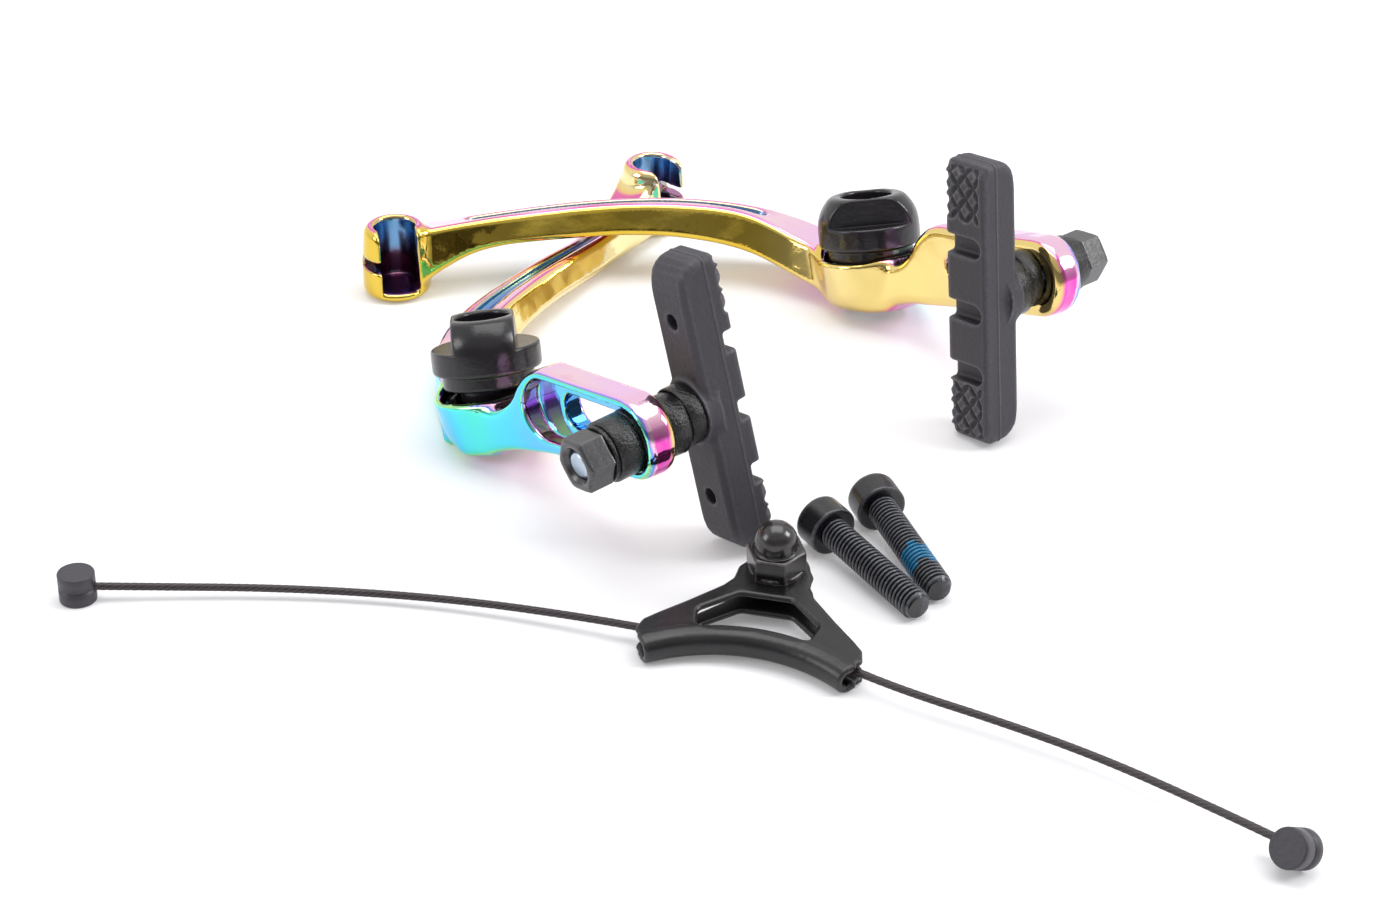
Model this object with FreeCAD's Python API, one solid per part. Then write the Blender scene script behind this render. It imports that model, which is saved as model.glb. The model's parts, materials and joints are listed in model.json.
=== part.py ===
import FreeCAD, Part
import os
from math import atan2, cos, degrees, radians, sin, sqrt, tan
from FreeCAD import Placement, Rotation, Vector

# U-brake laid out as a kit: two mirrored arms with pads, straddle cable and yoke, pivot bolts.
# Millimetres, +Z up. Each arm is modelled about its pivot axis (local Z), lever along +Y,
# pad on +X; the right arm is the left one mirrored in X, with a lever that passes higher.

# Spring cup, bush and cap, heights along the pivot axis
cup_radius = 11.4
cup_foot_radius = 10.2
cup_bottom = -1.8
cup_rim = 9.2
cup_floor = 2.2
cup_bore_radius = 9.9
bush_radius = 6.4
bush_bore_radius = 4.5
bush_top = 5.6
spring_wire = 1.5
spring_turns = 2.5
cap_flange_radius = 11.2
cap_flange_bottom = 11.6
cap_ledge = 16.7
cap_top = 22.7
cap_top_radius = 7.4
cap_flats = 12.9
cap_hole_radius = 5.56
cap_bolt_hole_radius = 3.3
cap_seat = 13.2
cap_skirt_radius = 9.4
cap_skirt_bottom = 8.4
cap_clearance = 0.15

# Slotted loop for the pad stud: u runs out from the pivot, s through the loop to the pad side
loop_angle = -61.2
stud_reach = 59.5
loop_height = 10.8
loop_root_low = 10.0
loop_root_high = 8.3
loop_end_half = 8.3
loop_outer_face = -3.2
loop_recess_floor = -0.4
loop_inner_face = 4.0
recess_width = 13.2
slot_width = 7.2
recess_start = 22.4
slot_start = 31.5
face_start = 27.5

# Pad set, measured along the stud from the middle of the ball seats
stud_radius = 3.0
stud_end = -14.2
stud_plate = 3.0
stud_plate_radius = 4.2
nut_end = -14.9
nut_start = -9.2
nut_flats = 10.0
flat_washer_start = -8.2
washer_radius = 6.1
dome_bore_radius = 4.6
ball_clearance = 0.12
inner_ball = 10.0
outer_ball = 6.6
pad_back = 11.8
pad_length = 60.0
pad_thickness = 10.6
pad_width = 11.0
pad_back_width = 9.0
pad_edge = 1.6
pad_boss_radius = 6.6
pad_groove_width = 4.1
pad_groove_depth = 3.0
pad_groove_land = 1.6
pad_groove_centres = [12.3, -1.8, -15.2]
pad_hole_spacing = 36.4
pad_hole_radius = 1.6

# Cable cradle at the lever's end
cradle_centre = Vector(40.2, 98.0, 17.0)
cradle_lean = Vector(0.19, -0.195, 0.962)
cradle_mouth_angle = -41.0
cradle_height = 16.6
cradle_radius = 7.6
cradle_bore_radius = 4.4
cradle_floor = 2.2
cradle_slit = 2.3
groove_depth = 1.9

# Straddle yoke, in a frame at its pinch bolt with the arched fold on -Y
sheet = 1.3
fold_radius = 2.7
arch_radius = 33.0
arch_half_angle = 36.0
yoke_reach = 19.0
yoke_neck = 6.3
yoke_half_width = 20.6
pinch_radius = 2.5
pinch_head = 2.2
pinch_head_radius = 4.2
pinch_washer_radius = 5.0
dome_nut_flats = 10.0
dome_nut_height = 5.0
dome_radius = 4.0
dome_height = 10.5

# Straddle cable and its barrels
cable_radius = 0.75
barrel_radius = 3.6
barrel_height = 6.0
barrel_groove = 0.35

# Pivot bolts
bolt_radius = 3.0
bolt_length = 28.0
bolt_head_radius = 5.0
bolt_head_height = 6.0
bolt_key = 5.0
bolt_key_depth = 3.2

# How the groups lie on the floor: place, then turns about Z, Y and X in degrees
arm_sets = {
    "left": {"at": (-38.84, 6.24), "turn": (5.57, -9.65, -11.01), "mirror": False,
             "cap_turn": 0.0, "cap_lean": (5.0, -7.0), "stud_shift": 0.0,
             "stud_yaw": 2.8, "stud_tilt": 3.25, "stud_roll": 2.7},
    "right": {"at": (40.97, 65.64), "turn": (62.6, 11.71, -12.04), "mirror": True,
              "cap_turn": -26.0, "cap_lean": (0.0, 0.0), "stud_shift": 2.4,
              "stud_yaw": -6.0, "stud_tilt": -5.3, "stud_roll": 9.2},
}
yoke_at = (16.4, -53.2)
yoke_turn = -15.0
bolts = {
    "front": {"tip": (42.6, -59.6), "heading": -57.8},
    "back": {"tip": (46.8, -53.8), "heading": -70.4},
}
bolt_lean = 3.8
left_barrel_at = (-115.0, -51.8)
right_barrel_at = (99.3, -133.6)
right_barrel_axis = Vector(-0.62, -0.61, 0.5)

# Straddle cable from the left barrel through the yoke to the right barrel
cable_route = [
    (-112.5, -52.0, 3.0), (-100.0, -51.6, 2.6), (-80.0, -51.3, 2.2), (-60.0, -52.7, 2.0), (-40.0, -56.2, 2.2),
    (-20.0, -62.2, 2.8), (-4.0, -68.2, 3.4), (6.0, -70.9, 3.6), (16.0, -72.6, 3.6), (26.0, -78.0, 3.4),
    (38.0, -86.8, 3.3), (54.0, -95.6, 3.0), (70.0, -106.0, 3.0), (86.0, -120.0, 3.6), (97.6, -131.9, 4.6),
]

# Lever stations from the cup to the cradle: x, y, width, heading in degrees; then depths and middle heights
lever_plan = [
    (-1.0, 3.0, 20.0, 92.0), (-3.0, 15.5, 19.0, 92.0), (-3.4, 27.0, 15.0, 82.0), (0.4, 39.5, 11.4, 66.0),
    (8.4, 54.6, 10.4, 59.0), (19.4, 72.0, 10.0, 54.0), (29.6, 85.4, 10.0, 51.0), (37.4, 95.0, 11.5, 50.0),
]
lever_depths = [10.4, 9.6, 9.0, 8.2, 7.2, 6.8, 7.6, 13.4]
lever_heights = {
    "left": [3.8, 6.0, 8.8, 10.9, 11.6, 11.3, 12.4, 15.8],
    "right": [3.8, 8.4, 13.2, 17.2, 19.8, 20.5, 19.7, 16.8],
}


def polygon(points):
    vectors = [Vector(*p) for p in points]
    return Part.Face(Part.makePolygon(vectors + vectors[:1]))


def revolved(profile):
    face = polygon([(r, 0.0, z) for r, z in profile])
    return face.revolve(Vector(0, 0, 0), Vector(0, 0, 1), 360.0)


def ring(outer, inner, bottom, top):
    return revolved([(inner, bottom), (outer, bottom), (outer, top), (inner, top)])


def hexagon(across_flats, bottom, height):
    corner = across_flats / sqrt(3.0)
    points = [(corner * cos(radians(60 * k)), corner * sin(radians(60 * k)), bottom) for k in range(6)]
    return polygon(points).extrude(Vector(0, 0, height))


def moved(shape, placement):
    return shape.transformed(placement.toMatrix(), True)


def onto_x(shape):
    """Turn a shape made along Z so that it runs along X."""
    return moved(shape, Placement(Vector(0, 0, 0), Rotation(Vector(0, 1, 0), 90.0)))


# Arm

def rounded_rectangle(width, depth, radius):
    """Wire in the YZ plane, round-cornered, counter-clockwise."""
    w, d = width / 2.0 - radius, depth / 2.0 - radius
    edges = []
    last = None
    for k, (y, z) in enumerate([(w, d), (-w, d), (-w, -d), (w, -d)]):
        arc = [Vector(0, y + radius * cos(radians(a)), z + radius * sin(radians(a)))
               for a in (90 * k, 90 * k + 45, 90 * k + 90)]
        if last is not None:
            edges.append(Part.makeLine(last, arc[0]))
        edges.append(Part.Arc(*arc).toShape())
        last = arc[2]
    edges.append(Part.makeLine(last, edges[0].Vertexes[0].Point))
    return Part.Wire(edges)


def lever_stations(side):
    return [plan[:2] + (height,) + plan[2:3] + (depth, plan[3])
            for plan, height, depth in zip(lever_plan, lever_heights[side], lever_depths)]


def lofted(stations, section):
    wires = []
    for x, y, z, width, depth, heading in stations:
        wire = section(width, depth)
        wire.Placement = Placement(Vector(x, y, z), Rotation(Vector(0, 0, 1), heading))
        wires.append(wire)
    return Part.makeLoft(wires, True, False)


def lever_section(width, depth):
    return rounded_rectangle(width, depth, 0.3 * min(width, depth))


def groove_section(width, depth):
    half, bottom = 0.23 * width, depth / 2.0 - groove_depth
    corners = [(-half, bottom), (half, bottom), (half, depth), (-half, depth), (-half, bottom)]
    return Part.makePolygon([Vector(0, y, z) for y, z in corners])


def loop_frame():
    return Placement(Vector(0, 0, 0), Rotation(Vector(0, 0, 1), loop_angle))


def short_arm():
    """Plate from the cup to the loop's end: its side view cut by its plan."""
    low, high = loop_height - loop_root_low, loop_height + loop_root_high
    end_low, end_high = loop_height - loop_end_half, loop_height + loop_end_half
    end = stud_reach - 0.6
    foot = cup_bottom + 0.6

    def at(u, z):
        return Vector(u, -20.0, z)

    side = Part.Wire([
        Part.makeLine(at(0, foot), at(10.0, foot)),
        Part.Arc(at(10.0, foot), at(15.5, foot + 0.75 * (low - foot)), at(22.0, low)).toShape(),
        Part.makeLine(at(22.0, low), at(end, end_low)),
        Part.Arc(at(end, end_low), at(end + loop_end_half, loop_height), at(end, end_high)).toShape(),
        Part.makeLine(at(end, end_high), at(25.0, high)),
        Part.Arc(at(25.0, high), at(18.6, 0.84 * high), at(13.0, cup_rim + 0.6)).toShape(),
        Part.makeLine(at(13.0, cup_rim + 0.6), at(0, cup_rim)),
        Part.makeLine(at(0, cup_rim), at(0, foot)),
    ])
    plan = [
        (-1.0, -cup_radius + 0.4), (4.5, -cup_radius + 0.7), (27.0, loop_outer_face - 0.3),
        (80.0, loop_outer_face), (80.0, loop_inner_face), (face_start, loop_inner_face),
        (face_start - 8.0, 2.0 * loop_inner_face), (6.0, cup_radius - 1.4), (-1.0, cup_radius - 0.4),
    ]
    outline = polygon([(u, s, -2.0) for u, s in plan]).extrude(Vector(0, 0, 40))
    return Part.Face(side).extrude(Vector(0, 40, 0)).common(outline)


def slot(start, width, near, far):
    """Round-ended slot reaching from start to the stud's outermost place."""
    half = width / 2.0
    ends = [start + half, stud_reach]
    box = Part.makeBox(ends[1] - ends[0], far - near, width, Vector(ends[0], near, loop_height - half))
    return box.fuse([Part.makeCylinder(half, far - near, Vector(u, near, loop_height), Vector(0, 1, 0))
                     for u in ends])


def cradle_frame():
    lean = Rotation(Vector(0, 0, 1), cradle_lean)
    return Placement(cradle_centre, lean.multiply(Rotation(Vector(0, 0, 1), cradle_mouth_angle)))


def cradle_block():
    half = cradle_height / 2.0
    return moved(revolved([
        (0, -half), (cradle_radius - 1.6, -half), (cradle_radius, -half + 1.8), (cradle_radius, -1.0),
        (cradle_radius - 0.7, half - 1.2), (cradle_radius - 1.9, half), (0, half),
    ]), cradle_frame())


def cradle_cut():
    """Barrel pocket open above and at its mouth, with a slit in the outer wall for the cable."""
    bottom = cradle_floor - cradle_height / 2.0
    reach = cradle_radius + 4.0
    pocket = Part.makeCylinder(cradle_bore_radius, cradle_height, Vector(0, 0, bottom))
    half_mouth = 0.9 * cradle_bore_radius
    mouth = Part.makeBox(reach, 2.0 * half_mouth, cradle_height, Vector(0, -half_mouth, bottom))
    slit = Part.makeBox(reach + 1.0, reach, cradle_slit, Vector(-1.0, 0, -cradle_slit / 2.0))
    return moved(pocket.fuse([mouth, slit]), cradle_frame())


def arm(side):
    stations = lever_stations(side)
    cup = revolved([
        (0, cup_bottom), (cup_foot_radius - 2.4, cup_bottom), (cup_foot_radius - 0.8, cup_bottom + 0.7),
        (cup_foot_radius, cup_bottom + 2.4), (cup_radius, cup_rim), (0, cup_rim),
    ])
    lever = lofted(stations, lever_section).cut(lofted(stations[2:7], groove_section))
    body = cup.fuse([moved(short_arm(), loop_frame()), lever, cradle_block()])
    hollow = Part.makeCylinder(cup_bore_radius, 40.0, Vector(0, 0, cup_floor))
    bore = Part.makeCylinder(bush_radius, 20.0, Vector(0, 0, -5.0))
    recess = slot(recess_start, recess_width, -20.0, loop_recess_floor)
    slots = recess.fuse(slot(slot_start, slot_width, -1.0, 20.0))
    return body.cut([hollow, bore, moved(slots, loop_frame()), cradle_cut()])


def return_spring():
    """Coil of quarter-turn arcs that climb from the cup's floor to the cap's skirt."""
    coil_radius = (cup_bore_radius + bush_radius) / 2.0
    bottom = cup_floor + spring_wire / 2.0
    rise = cap_skirt_bottom - cap_clearance - cup_floor - spring_wire
    quarters = int(round(4 * spring_turns))

    def at(quarter):
        turn = radians(90.0 * quarter)
        return Vector(coil_radius * cos(turn), coil_radius * sin(turn), bottom + rise * quarter / quarters)

    coil = [Part.Arc(at(k), at(k + 0.5), at(k + 1)).toShape() for k in range(quarters)]
    wire = Part.Wire(Part.makeCircle(spring_wire / 2.0, at(0), Vector(0, 1, 0)))
    return Part.Wire(coil).makePipeShell([wire], True, False)


def spring_cap(layout):
    """Turned cap with two spanner flats, a seat for the pivot bolt's head and a hub on the bush."""
    shoulder = cap_ledge - 1.0
    hub = bush_top + cap_clearance
    body = revolved([
        (cap_bolt_hole_radius, hub), (bush_radius - 0.3, hub), (bush_radius - 0.3, cap_skirt_bottom),
        (cap_skirt_radius, cap_skirt_bottom), (cap_skirt_radius, cap_flange_bottom),
        (cap_flange_radius - 0.5, cap_flange_bottom), (cap_flange_radius, cap_flange_bottom + 0.5),
        (cap_flange_radius, shoulder), (cap_flange_radius - 0.5, cap_ledge + 1.6),
        (cap_flange_radius - 1.7, cap_ledge + 3.9), (cap_top_radius + 0.6, cap_top - 0.5),
        (cap_top_radius, cap_top), (cap_hole_radius, cap_top), (cap_hole_radius, cap_seat),
        (cap_bolt_hole_radius, cap_seat),
    ])
    room = 2.0 * cap_flange_radius
    sides = [Part.makeBox(room, 2 * room, room, Vector(x, -room, cap_ledge))
             for x in (cap_flats / 2.0, -cap_flats / 2.0 - room)]
    body = body.cut(sides)
    lean = Rotation(0.0, *layout["cap_lean"])
    lift = cap_skirt_radius * sin(lean.multVec(Vector(0, 0, 1)).getAngle(Vector(0, 0, 1)))
    lie = lean.multiply(Rotation(Vector(0, 0, 1), layout["cap_turn"]))
    return moved(body, Placement(Vector(0, 0, lift), lie, Vector(0, 0, cap_skirt_bottom)))


# Pad set: modelled along X from the ball seats' middle, pad length along Z

def ball_cap(radius, sign, bore, flat):
    """Washer with a domed face about the origin on one side and a flat face on the other."""
    rim = Part.makeCylinder(washer_radius, radius, Vector(0, 0, 0), Vector(sign, 0, 0))
    dome = rim.common(Part.makeSphere(radius))
    behind = Vector(flat - abs(flat) - radius if sign > 0 else flat, -2 * radius, -2 * radius)
    cuts = [Part.makeCylinder(bore, 2 * radius, Vector(-radius, 0, 0), Vector(1, 0, 0)),
            Part.makeBox(abs(flat) + radius, 4 * radius, 4 * radius, behind)]
    return dome.cut(cuts)


def ball_cup(radius, sign, flat):
    """Washer with a hollow face about the origin, resting on a domed washer."""
    rim = ring(washer_radius, stud_radius, 0.0, abs(flat))
    if sign < 0:
        rim = moved(rim, Placement(Vector(0, 0, 0), Rotation(Vector(1, 0, 0), 180.0)))
    return onto_x(rim).cut(Part.makeSphere(radius + ball_clearance))


def pad_stud():
    plate = pad_back + 2.0
    rod = revolved([
        (0, stud_end), (stud_radius - 0.6, stud_end), (stud_radius, stud_end + 0.6), (stud_radius, plate),
        (stud_plate_radius, plate), (stud_plate_radius, plate + stud_plate), (0, plate + stud_plate),
    ])
    return onto_x(rod)


def flat_washer():
    return onto_x(ring(washer_radius - 0.5, stud_radius, nut_start, flat_washer_start))


def pad_nut():
    chamfer = 0.5
    corner = nut_flats / sqrt(3.0)
    turned = revolved([
        (0, nut_end), (corner - 0.9, nut_end), (corner + 0.1, nut_end + chamfer + 0.1),
        (corner + 0.1, nut_start), (0, nut_start),
    ])
    nut = hexagon(nut_flats, nut_end, nut_start - nut_end).common(turned)
    return onto_x(nut.cut(Part.makeCylinder(stud_radius, 20.0, Vector(0, 0, nut_end - 1.0))))


def brake_pad(open_side):
    """Moulded block: bevelled back, boss round the stud, grooves in the rubbing face open on one side."""
    half, back, face = pad_length / 2.0, pad_back, pad_back + pad_thickness
    wide, narrow = pad_width / 2.0, pad_back_width / 2.0
    ends = [(back, half - 7.0), (back + 4.0, half), (face - 1.5, half), (face, half - 1.5)]
    ends += [(x, -z) for x, z in reversed(ends)]
    flanks = [(back, narrow), (back + pad_edge, wide), (face - 0.8, wide), (face, wide - 0.8)]
    flanks += [(x, -y) for x, y in reversed(flanks)]
    block = polygon([(x, -wide, z) for x, z in ends]).extrude(Vector(0, pad_width, 0))
    body = block.common(polygon([(x, y, -half) for x, y in flanks]).extrude(Vector(0, 0, pad_length)))
    boss = Part.makeCylinder(pad_boss_radius, pad_thickness / 3.0, Vector(back, 0, 0), Vector(1, 0, 0))
    return body.fuse(boss).cut([pad_stud()] + pad_grooves(open_side) + pad_holes())


def pad_grooves(open_side):
    """Round-ended slots across the face, from one side nearly to the other."""
    radius = pad_groove_width / 2.0
    bottom = pad_back + pad_thickness - pad_groove_depth
    end = -open_side * (pad_width / 2.0 - pad_groove_land - radius)
    start = open_side * pad_width
    grooves = []
    for z in pad_groove_centres:
        corner = Vector(bottom, min(start, end), z - radius)
        grooves.append(Part.makeBox(2 * pad_groove_depth, abs(start - end), pad_groove_width, corner).fuse(
            Part.makeCylinder(radius, 2 * pad_groove_depth, Vector(bottom, end, z), Vector(1, 0, 0))))
    return grooves


def pad_holes():
    """Blind holes in the back, on each side of the stud."""
    return [Part.makeCylinder(pad_hole_radius, 5.0, Vector(pad_back - 1.0, 0, z), Vector(1, 0, 0))
            for z in (pad_hole_spacing / 2.0, -pad_hole_spacing / 2.0)]


def stud_seat(layout):
    """Frame of the loop at the stud, X through the loop towards the pad."""
    across = Rotation(Vector(0, 0, 1), loop_angle + 90.0)
    out = Rotation(Vector(0, 0, 1), loop_angle).multVec(Vector(1, 0, 0))
    return Placement(out * (stud_reach - layout["stud_shift"]) + Vector(0, 0, loop_height), across)


def stud_frame(layout):
    seat = stud_seat(layout)
    swivel = Rotation(layout["stud_yaw"], -layout["stud_tilt"], layout["stud_roll"])
    return seat.multiply(Placement(Vector(0, 0, 0), swivel))


def arm_set(side):
    layout = arm_sets[side]
    seat, stud = stud_seat(layout), stud_frame(layout)
    nodes = {
        "arm": arm(side),
        "pivot_bush": ring(bush_radius, bush_bore_radius, cup_bottom, bush_top),
        "return_spring": return_spring(),
        "spring_cap": spring_cap(layout),
        "inner_dome_washer": moved(ball_cap(inner_ball, 1, dome_bore_radius, loop_inner_face), seat),
        "outer_dome_washer": moved(ball_cap(outer_ball, -1, dome_bore_radius - 0.5, loop_recess_floor), seat),
        "inner_cup_washer": moved(ball_cup(inner_ball, 1, pad_back), stud),
        "outer_cup_washer": moved(ball_cup(outer_ball, -1, flat_washer_start), stud),
        "flat_washer": moved(flat_washer(), stud),
        "pad_nut": moved(pad_nut(), stud),
        "pad_stud": moved(pad_stud(), stud),
        "brake_pad": moved(brake_pad(1 if layout["mirror"] else -1), stud),
    }
    if layout["mirror"]:
        nodes = {name: shape.mirror(Vector(0, 0, 0), Vector(1, 0, 0)) for name, shape in nodes.items()}
    lie = Placement(Vector(*layout["at"], 0.0), Rotation(*layout["turn"]))
    nodes = {name: moved(shape, lie) for name, shape in nodes.items()}
    floor = min(shape.optimalBoundingBox().ZMin for shape in nodes.values())
    for shape in nodes.values():
        shape.translate(Vector(0, 0, -floor))
    return {"%s_%s" % (side, name): shape for name, shape in nodes.items()}


# Straddle set

def fold():
    """Arched channel: a U section swept about the arch's centre."""
    inner = fold_radius - sheet
    r, leg = arch_radius, arch_radius + 1.5
    up = fold_radius
    bottom, top = up - fold_radius, up + fold_radius

    def at(radius, z):
        return Vector(radius, 0, z)

    section = Part.Wire([
        Part.makeLine(at(leg, bottom), at(r, bottom)),
        Part.Arc(at(r, bottom), at(r - fold_radius, up), at(r, top)).toShape(),
        Part.makeLine(at(r, top), at(leg, top)),
        Part.makeLine(at(leg, top), at(leg, up + inner)),
        Part.makeLine(at(leg, up + inner), at(r, up + inner)),
        Part.Arc(at(r, up + inner), at(r - inner, up), at(r, up - inner)).toShape(),
        Part.makeLine(at(r, up - inner), at(leg, up - inner)),
        Part.makeLine(at(leg, up - inner), at(leg, bottom)),
    ])
    channel = Part.Face(section).revolve(Vector(0, 0, 0), Vector(0, 0, 1), 2.0 * arch_half_angle)
    return moved(channel, Placement(Vector(0, -yoke_reach - arch_radius, 0),
                                    Rotation(Vector(0, 0, 1), 90.0 - arch_half_angle)))


def yoke_plate():
    """Flat triangular plate with a window between its legs."""
    w, n, reach = yoke_half_width, yoke_neck, yoke_reach
    end = Vector(sin(radians(arch_half_angle)), cos(radians(arch_half_angle)), 0)
    centre = Vector(0, -yoke_reach - arch_radius, 0)
    corner, foot = centre + end * (arch_radius + 3.0), centre + end * (arch_radius - 0.2)
    right = [(n, 0.0), (n + 0.3, -0.19 * reach), (n + 2.0, -0.35 * reach), (0.69 * w, -0.705 * reach),
             (0.90 * w, -0.947 * reach), (w, -1.074 * reach), (corner.x, corner.y), (foot.x, foot.y),
             (0.0, -reach - 0.2)]
    left = [(-x, y) for x, y in reversed(right[:-1])]
    plate = polygon([(x, y, 0) for x, y in right + left]).extrude(Vector(0, 0, sheet))
    plate = plate.fuse(Part.makeCylinder(n, sheet))
    window = [(0.24 * w, -0.442 * reach), (0.544 * w, -0.79 * reach), (0.515 * w, -0.958 * reach),
              (0.388 * w, -1.01 * reach), (0.0, 1.6 - reach)]
    window += [(-x, y) for x, y in reversed(window[:-1])]
    arch = Part.makeCylinder(arch_radius, sheet, Vector(0, -yoke_reach - arch_radius, 0))
    return plate.cut([polygon([(x, y, 0) for x, y in window]).extrude(Vector(0, 0, sheet)), arch])


def yoke():
    gap = 2.0 * fold_radius - sheet
    lower, upper = yoke_plate(), yoke_plate()
    upper.translate(Vector(0, 0, gap))
    body = fold().fuse([lower, upper])
    return body.cut(Part.makeCylinder(pinch_radius, 20.0, Vector(0, 0, -5.0))).removeSplitter()


def dome_nut(bottom):
    top, corner = bottom + dome_nut_height, dome_nut_flats / sqrt(3.0) + 0.1
    hexed = hexagon(dome_nut_flats, bottom, dome_nut_height).common(revolved([
        (0, bottom), (corner, bottom), (corner, top - 0.6), (corner - 1.0, top), (0, top),
    ]))
    centre = bottom + dome_height - dome_radius
    dome = Part.makeCylinder(dome_radius, centre - bottom, Vector(0, 0, bottom)).fuse(
        Part.makeSphere(dome_radius, Vector(0, 0, centre)))
    thread = Part.makeCylinder(pinch_radius, dome_height - dome_radius, Vector(0, 0, bottom))
    return hexed.fuse(dome).cut(thread)


def straddle_set():
    top = 2.0 * fold_radius
    gap = top - 2.0 * sheet
    shank_top = top + dome_height - dome_radius - 0.5
    pinch = ring(pinch_head_radius, 0.0, -pinch_head, 0.0).fuse(Part.makeCylinder(pinch_radius, shank_top))
    washer = ring(pinch_washer_radius, pinch_radius, sheet, sheet + gap / 2.0)
    upper_washer = ring(pinch_washer_radius, pinch_radius, sheet + gap / 2.0, sheet + gap)
    nodes = {"yoke": yoke(), "pinch_bolt": pinch, "dome_nut": dome_nut(top),
             "lower_clamp_washer": washer, "upper_clamp_washer": upper_washer}
    lean = degrees_of_rest()
    lie = Placement(Vector(*yoke_at, 0.0), Rotation(yoke_turn, 0.0, lean))
    nodes = {name: moved(shape, lie) for name, shape in nodes.items()}
    floor = min(shape.optimalBoundingBox().ZMin for shape in nodes.values())
    for shape in nodes.values():
        shape.translate(Vector(0, 0, -floor))
    return nodes


def degrees_of_rest():
    """Lean of the yoke as it rests on its fold and the pinch bolt's head."""
    span = yoke_reach + arch_radius * (1 - cos(radians(arch_half_angle))) - pinch_head_radius
    return degrees(atan2(pinch_head, span))


def barrel():
    h, r, g = barrel_height, barrel_radius, barrel_groove
    return revolved([
        (0, -h / 2), (r - 0.4, -h / 2), (r, -h / 2 + 0.4), (r, h / 6), (r - g, h / 6 + g),
        (r - g, h / 6 + 2 * g), (r, h / 6 + 3 * g), (r, h / 2 - 0.4), (r - 0.4, h / 2), (0, h / 2),
    ])


def barrels():
    left = barrel()
    left.translate(Vector(*left_barrel_at, barrel_height / 2.0))
    lie = Placement(Vector(*right_barrel_at, 0.0), Rotation(Vector(0, 0, 1), right_barrel_axis))
    right = moved(barrel(), lie)
    right.translate(Vector(0, 0, -right.BoundBox.ZMin))
    return {"left_barrel": left, "right_barrel": right}


def corner_radius(before, corner, after):
    turn = (corner - before).getAngle(after - corner)
    return 0.45 * min((corner - before).Length, (after - corner).Length) / tan(turn / 2.0)


def straddle_cable():
    """Tube of straight runs joined by tangent arcs as large as the runs allow."""
    points = [Vector(*p) for p in cable_route]
    edges = []
    last = points[0]
    for before, corner, after in zip(points, points[1:], points[2:]):
        back, on = (before - corner).normalize(), (after - corner).normalize()
        turn = (corner - before).getAngle(after - corner)
        radius = corner_radius(before, corner, after)
        reach = radius * tan(turn / 2.0)
        middle = (back + on).normalize() * (radius / cos(turn / 2.0) - radius)
        start, end = corner + back * reach, corner + on * reach
        edges.append(Part.makeLine(last, start))
        edges.append(Part.Arc(start, corner + middle, end).toShape())
        last = end
    edges.append(Part.makeLine(last, points[-1]))
    radii = [corner_radius(*corner) for corner in zip(points, points[1:], points[2:])]
    print("cable bend radii", [round(radius) for radius in radii])
    path = Part.Wire(edges)
    disc = Part.Wire(Part.makeCircle(cable_radius, points[0], points[1] - points[0]))
    return path.makePipeShell([disc], True, False), path.Length


def pivot_bolt(place):
    """Socket-head bolt lying on its head's rim and its tip."""
    shank = revolved([
        (0, 0), (bolt_radius - 0.8, 0), (bolt_radius, 0.8), (bolt_radius, bolt_length), (0, bolt_length),
    ])
    top = bolt_length + bolt_head_height
    head = revolved([
        (0, bolt_length), (bolt_head_radius, bolt_length), (bolt_head_radius, top - 0.5),
        (bolt_head_radius - 0.5, top), (0, top),
    ])
    key = hexagon(bolt_key, top - bolt_key_depth, bolt_key_depth + 1.0)
    bolt = onto_x(shank.fuse(head).cut(key))
    lie = Placement(Vector(*place["tip"], 0.0), Rotation(place["heading"] + 180.0, 0, 0))
    lean = Placement(Vector(0, 0, 0), Rotation(Vector(0, 1, 0), -bolt_lean))
    bolt = moved(moved(bolt, lean), lie)
    bolt.translate(Vector(0, 0, -bolt.BoundBox.ZMin))
    return bolt


def kit():
    nodes = {}
    for side in arm_sets:
        nodes.update(arm_set(side))
    nodes.update(straddle_set())
    for name, place in bolts.items():
        nodes["%s_pivot_bolt" % name] = pivot_bolt(place)
    box = FreeCAD.BoundBox()
    for shape in nodes.values():
        box.add(shape.optimalBoundingBox())
    nodes.update(barrels())
    nodes["straddle_cable"], cable_length = straddle_cable()
    for name in ("left_barrel", "right_barrel"):
        nodes[name] = nodes[name].cut(nodes["straddle_cable"])
    shift = Vector(-box.Center.x, -box.Center.y, -box.ZMin)
    for shape in nodes.values():
        shape.translate(shift)
    print("layout shift", shift, "box", box.XLength, box.YLength, box.ZLength)
    print("cable length %.1f, volume %.1f" % (cable_length, nodes["straddle_cable"].Volume))
    return nodes


os.makedirs("parts", exist_ok=True)
for node, shape in kit().items():
    print("%-28s valid %s solids %d volume %8.1f z %.2f to %.2f" % (
        node, shape.isValid(), len(shape.Solids), shape.Volume, shape.BoundBox.ZMin, shape.BoundBox.ZMax))
    shape.exportStep("parts/%s.step" % node)
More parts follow.
